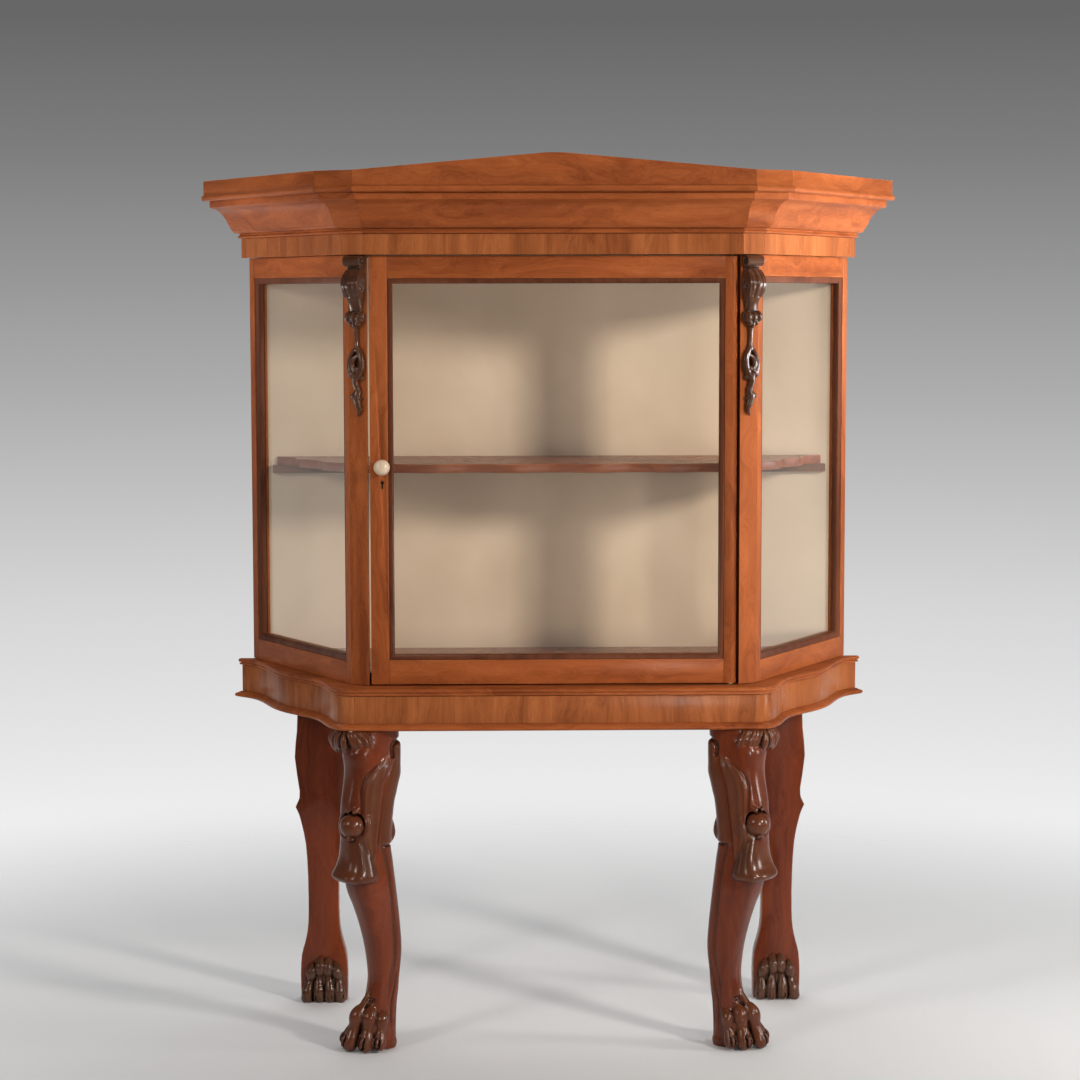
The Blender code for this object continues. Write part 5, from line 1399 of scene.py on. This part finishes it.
class CABINET_OT_case(CabinetStep, bpy.types.Operator):
    """Finishes the posts, side frames and boards of the case"""
    bl_idname = "cabinet.case"
    bl_label = "Case"

    # Lath behind the gap on the door's hinge side: its low and high corners from those of the post
    stop_low = (-0.0170, -0.0018, 0.0180)
    stop_high = (0.0006, 0.0040, -0.0004)
    stop_seed = 61

    def execute(self, context):
        ease_boards((
            ("upright", 1.0, both("corner_post", "side_stile_front", "side_stile_rear")),
            ("side", 1.0, both("side_rail_top", "side_rail_bottom")),
            ("upright", 0.4, both("side_bead")),
            ("front", 0.8, ["case_floor", "case_ceiling", "shelf_batten"]),
            ("upright", 0.8, ["back_panel"]),
        ), CRISP_ANGLE)
        dress("lining", "back_lining")
        dress("pane_glass", *both("side_glass"))
        post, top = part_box("corner_post_right")
        low = Vector((post.x, top.y, post.z)) + Vector(self.stop_low)
        high = Vector((post.x, top.y, top.z)) + Vector(self.stop_high)
        stop = box_mesh("door_stop", low, high)
        lay_grain(stop, GRAIN_RUNS["upright"], self.stop_seed)
        add_piece("door_stop", stop, "case_wood", "cabinet")
        return {"FINISHED"}


class CABINET_OT_shelf(CabinetStep, bpy.types.Operator):
    """Finishes the waved shelf"""
    bl_idname = "cabinet.shelf"
    bl_label = "Shelf"

    # Depth behind the foremost point that the waves reach, and the line that they swing about
    wave_reach = 0.0125
    wave_middle = 0.005
    seed = 47

    def execute(self, context):
        sizes = context.scene.cabinet_sizes
        points = eased_board("shelf", self.seed, "front", sizes.easing * 1.6).data.vertices
        front = min(point.co.y for point in points)
        for point in points:
            if point.co.y < front + self.wave_reach:
                point.co.y += (point.co.y - front - self.wave_middle) * sizes.shelf_wave
        return {"FINISHED"}


class CABINET_OT_cornice(CabinetStep, bpy.types.Operator):
    """Finishes the frieze, cornice and pediment"""
    bl_idname = "cabinet.cornice"
    bl_label = "Cornice"

    def execute(self, context):
        ease_boards((
            ("upright", 0.3, ["frieze_front", *both("frieze_facet", "frieze_side")]),
            ("front", 0.4, ["cornice_front", "pediment"]),
            ("facet", 0.4, both("cornice_facet")),
            ("side", 0.4, both("cornice_side")),
            ("front", 0.8, ["top_board", "cornice_back"]),
        ), CRISP_ANGLE)
        return {"FINISHED"}


class CABINET_OT_door(CabinetStep, bpy.types.Operator):
    """Finishes the door with its glass, knob, keyhole and lock"""
    bl_idname = "cabinet.door"
    bl_label = "Door"

    def execute(self, context):
        ease_boards((
            ("upright", 1.0, ["door_lock_stile", "door_hinge_stile"]),
            ("front", 1.0, ["door_rail_top", "door_rail_bottom"]),
            ("upright", 0.4, ["door_bead"]),
        ))
        dress("pane_glass", "door_glass")
        dress("brass", "lock_case", "lock_bolt", "hinge_pin_top", "hinge_pin_bottom")
        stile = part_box("door_lock_stile")[0]
        low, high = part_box("door_knob")
        centre = Vector(((low.x + high.x) / 2, stile.y, (low.z + high.z) / 2))
        knob = turned_mesh("door_knob_turned", KNOB_PROFILE, centre)
        add_piece("door_knob_turned", knob, "ivory", "door", ["door_knob"])
        low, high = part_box("lock_case")
        eye = Vector((stile.x + KEYHOLE_IN, stile.y, (low.z + high.z) / 2 - KEYHOLE_DROP))
        add_piece("keyhole_edge", keyhole_mesh("keyhole_edge", eye), "brass", "door")
        return {"FINISHED"}


class CABINET_OT_front_legs(CabinetStep, bpy.types.Operator):
    """Carves the front legs"""
    bl_idname = "cabinet.front_legs"
    bl_label = "Front legs"

    def execute(self, context):
        sizes = context.scene.cabinet_sizes
        block = front_leg_block(carve_step(sizes.leg_grain), sizes.reeds)
        place = Matrix.Translation(LEG_AXIS) @ Matrix.Rotation(LEG_TURN - math.pi / 2, 4, "Z")
        carved_pair("front_leg", block, place, "leg_wood")
        return {"FINISHED"}


class CABINET_OT_rear_legs(CabinetStep, bpy.types.Operator):
    """Finishes the rear legs and carves their paws"""
    bl_idname = "cabinet.rear_legs"
    bl_label = "Rear legs"

    def execute(self, context):
        ease_boards((("upright", 1.8, both("rear_leg")),))
        low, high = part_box("rear_leg_right")
        place = Matrix.Translation(((low.x + high.x) / 2, low.y, 0)) @ Matrix.Scale(-1, 4, Vector((0, 1, 0)))
        block = rear_paw_block(carve_step(context.scene.cabinet_sizes.corbel_grain))
        carved_pair("rear_paw", block, place, "carving_wood")
        return {"FINISHED"}


class CABINET_OT_corbels(CabinetStep, bpy.types.Operator):
    """Carves the corbels on the corner posts"""
    bl_idname = "cabinet.corbels"
    bl_label = "Corbels"

    def execute(self, context):
        block = corbel_block(carve_step(context.scene.cabinet_sizes.corbel_grain))
        carved_pair("corbel", block, corbel_place(), "carving_wood")
        return {"FINISHED"}


class CABINET_OT_back_screws(CabinetStep, bpy.types.Operator):
    """Sets the screws that hold the back panel"""
    bl_idname = "cabinet.back_screws"
    bl_label = "Back screws"

    def execute(self, context):
        sizes = context.scene.cabinet_sizes
        low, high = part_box("back_panel")
        x = high.x - SCREW_INSET * 2
        foot = low.z + SCREW_INSET
        head = high.z - SCREW_INSET
        points = [(-x, high.y, foot), (x, high.y, foot), (x, high.y, head), (-x, high.y, head)]
        values = {"Spacing": sizes.screw_spacing, "Head radius": sizes.screw_radius, "Finish": finish("brass")}
        mesh = plain_from_nodes("back_screws", points, screw_tree(), values)
        add_piece("back_screws", mesh, "brass", "cabinet")
        return {"FINISHED"}


class CABINET_PT_panel(bpy.types.Panel):
    """Sizes, colours and steps of the cabinet"""
    bl_idname = "CABINET_PT_panel"
    bl_label = "Display cabinet"
    bl_space_type = "VIEW_3D"
    bl_region_type = "UI"
    bl_category = "Cabinet"

    def draw(self, context):
        for group in (context.scene.cabinet_sizes, context.scene.cabinet_colours):
            column = self.layout.column()
            for name in group.__annotations__:
                column.prop(group, name)
        for step in STEPS:
            self.layout.operator(step.bl_idname)


STEPS = (
    CABINET_OT_stage, CABINET_OT_base, CABINET_OT_case, CABINET_OT_shelf, CABINET_OT_cornice, CABINET_OT_door,
    CABINET_OT_front_legs, CABINET_OT_rear_legs, CABINET_OT_corbels, CABINET_OT_back_screws,
)
CLASSES = (CabinetSizes, CabinetColours, *STEPS, CABINET_PT_panel)


def register():
    for item in CLASSES:
        bpy.utils.register_class(item)
    bpy.types.Scene.cabinet_sizes = bpy.props.PointerProperty(type=CabinetSizes)
    bpy.types.Scene.cabinet_colours = bpy.props.PointerProperty(type=CabinetColours)


def unregister():
    del bpy.types.Scene.cabinet_colours
    del bpy.types.Scene.cabinet_sizes
    for item in reversed(CLASSES):
        bpy.utils.unregister_class(item)


def main():
    register()
    for step in STEPS:
        getattr(bpy.ops.cabinet, step.bl_idname.split(".")[1])()


if __name__ == "__main__":
    main()
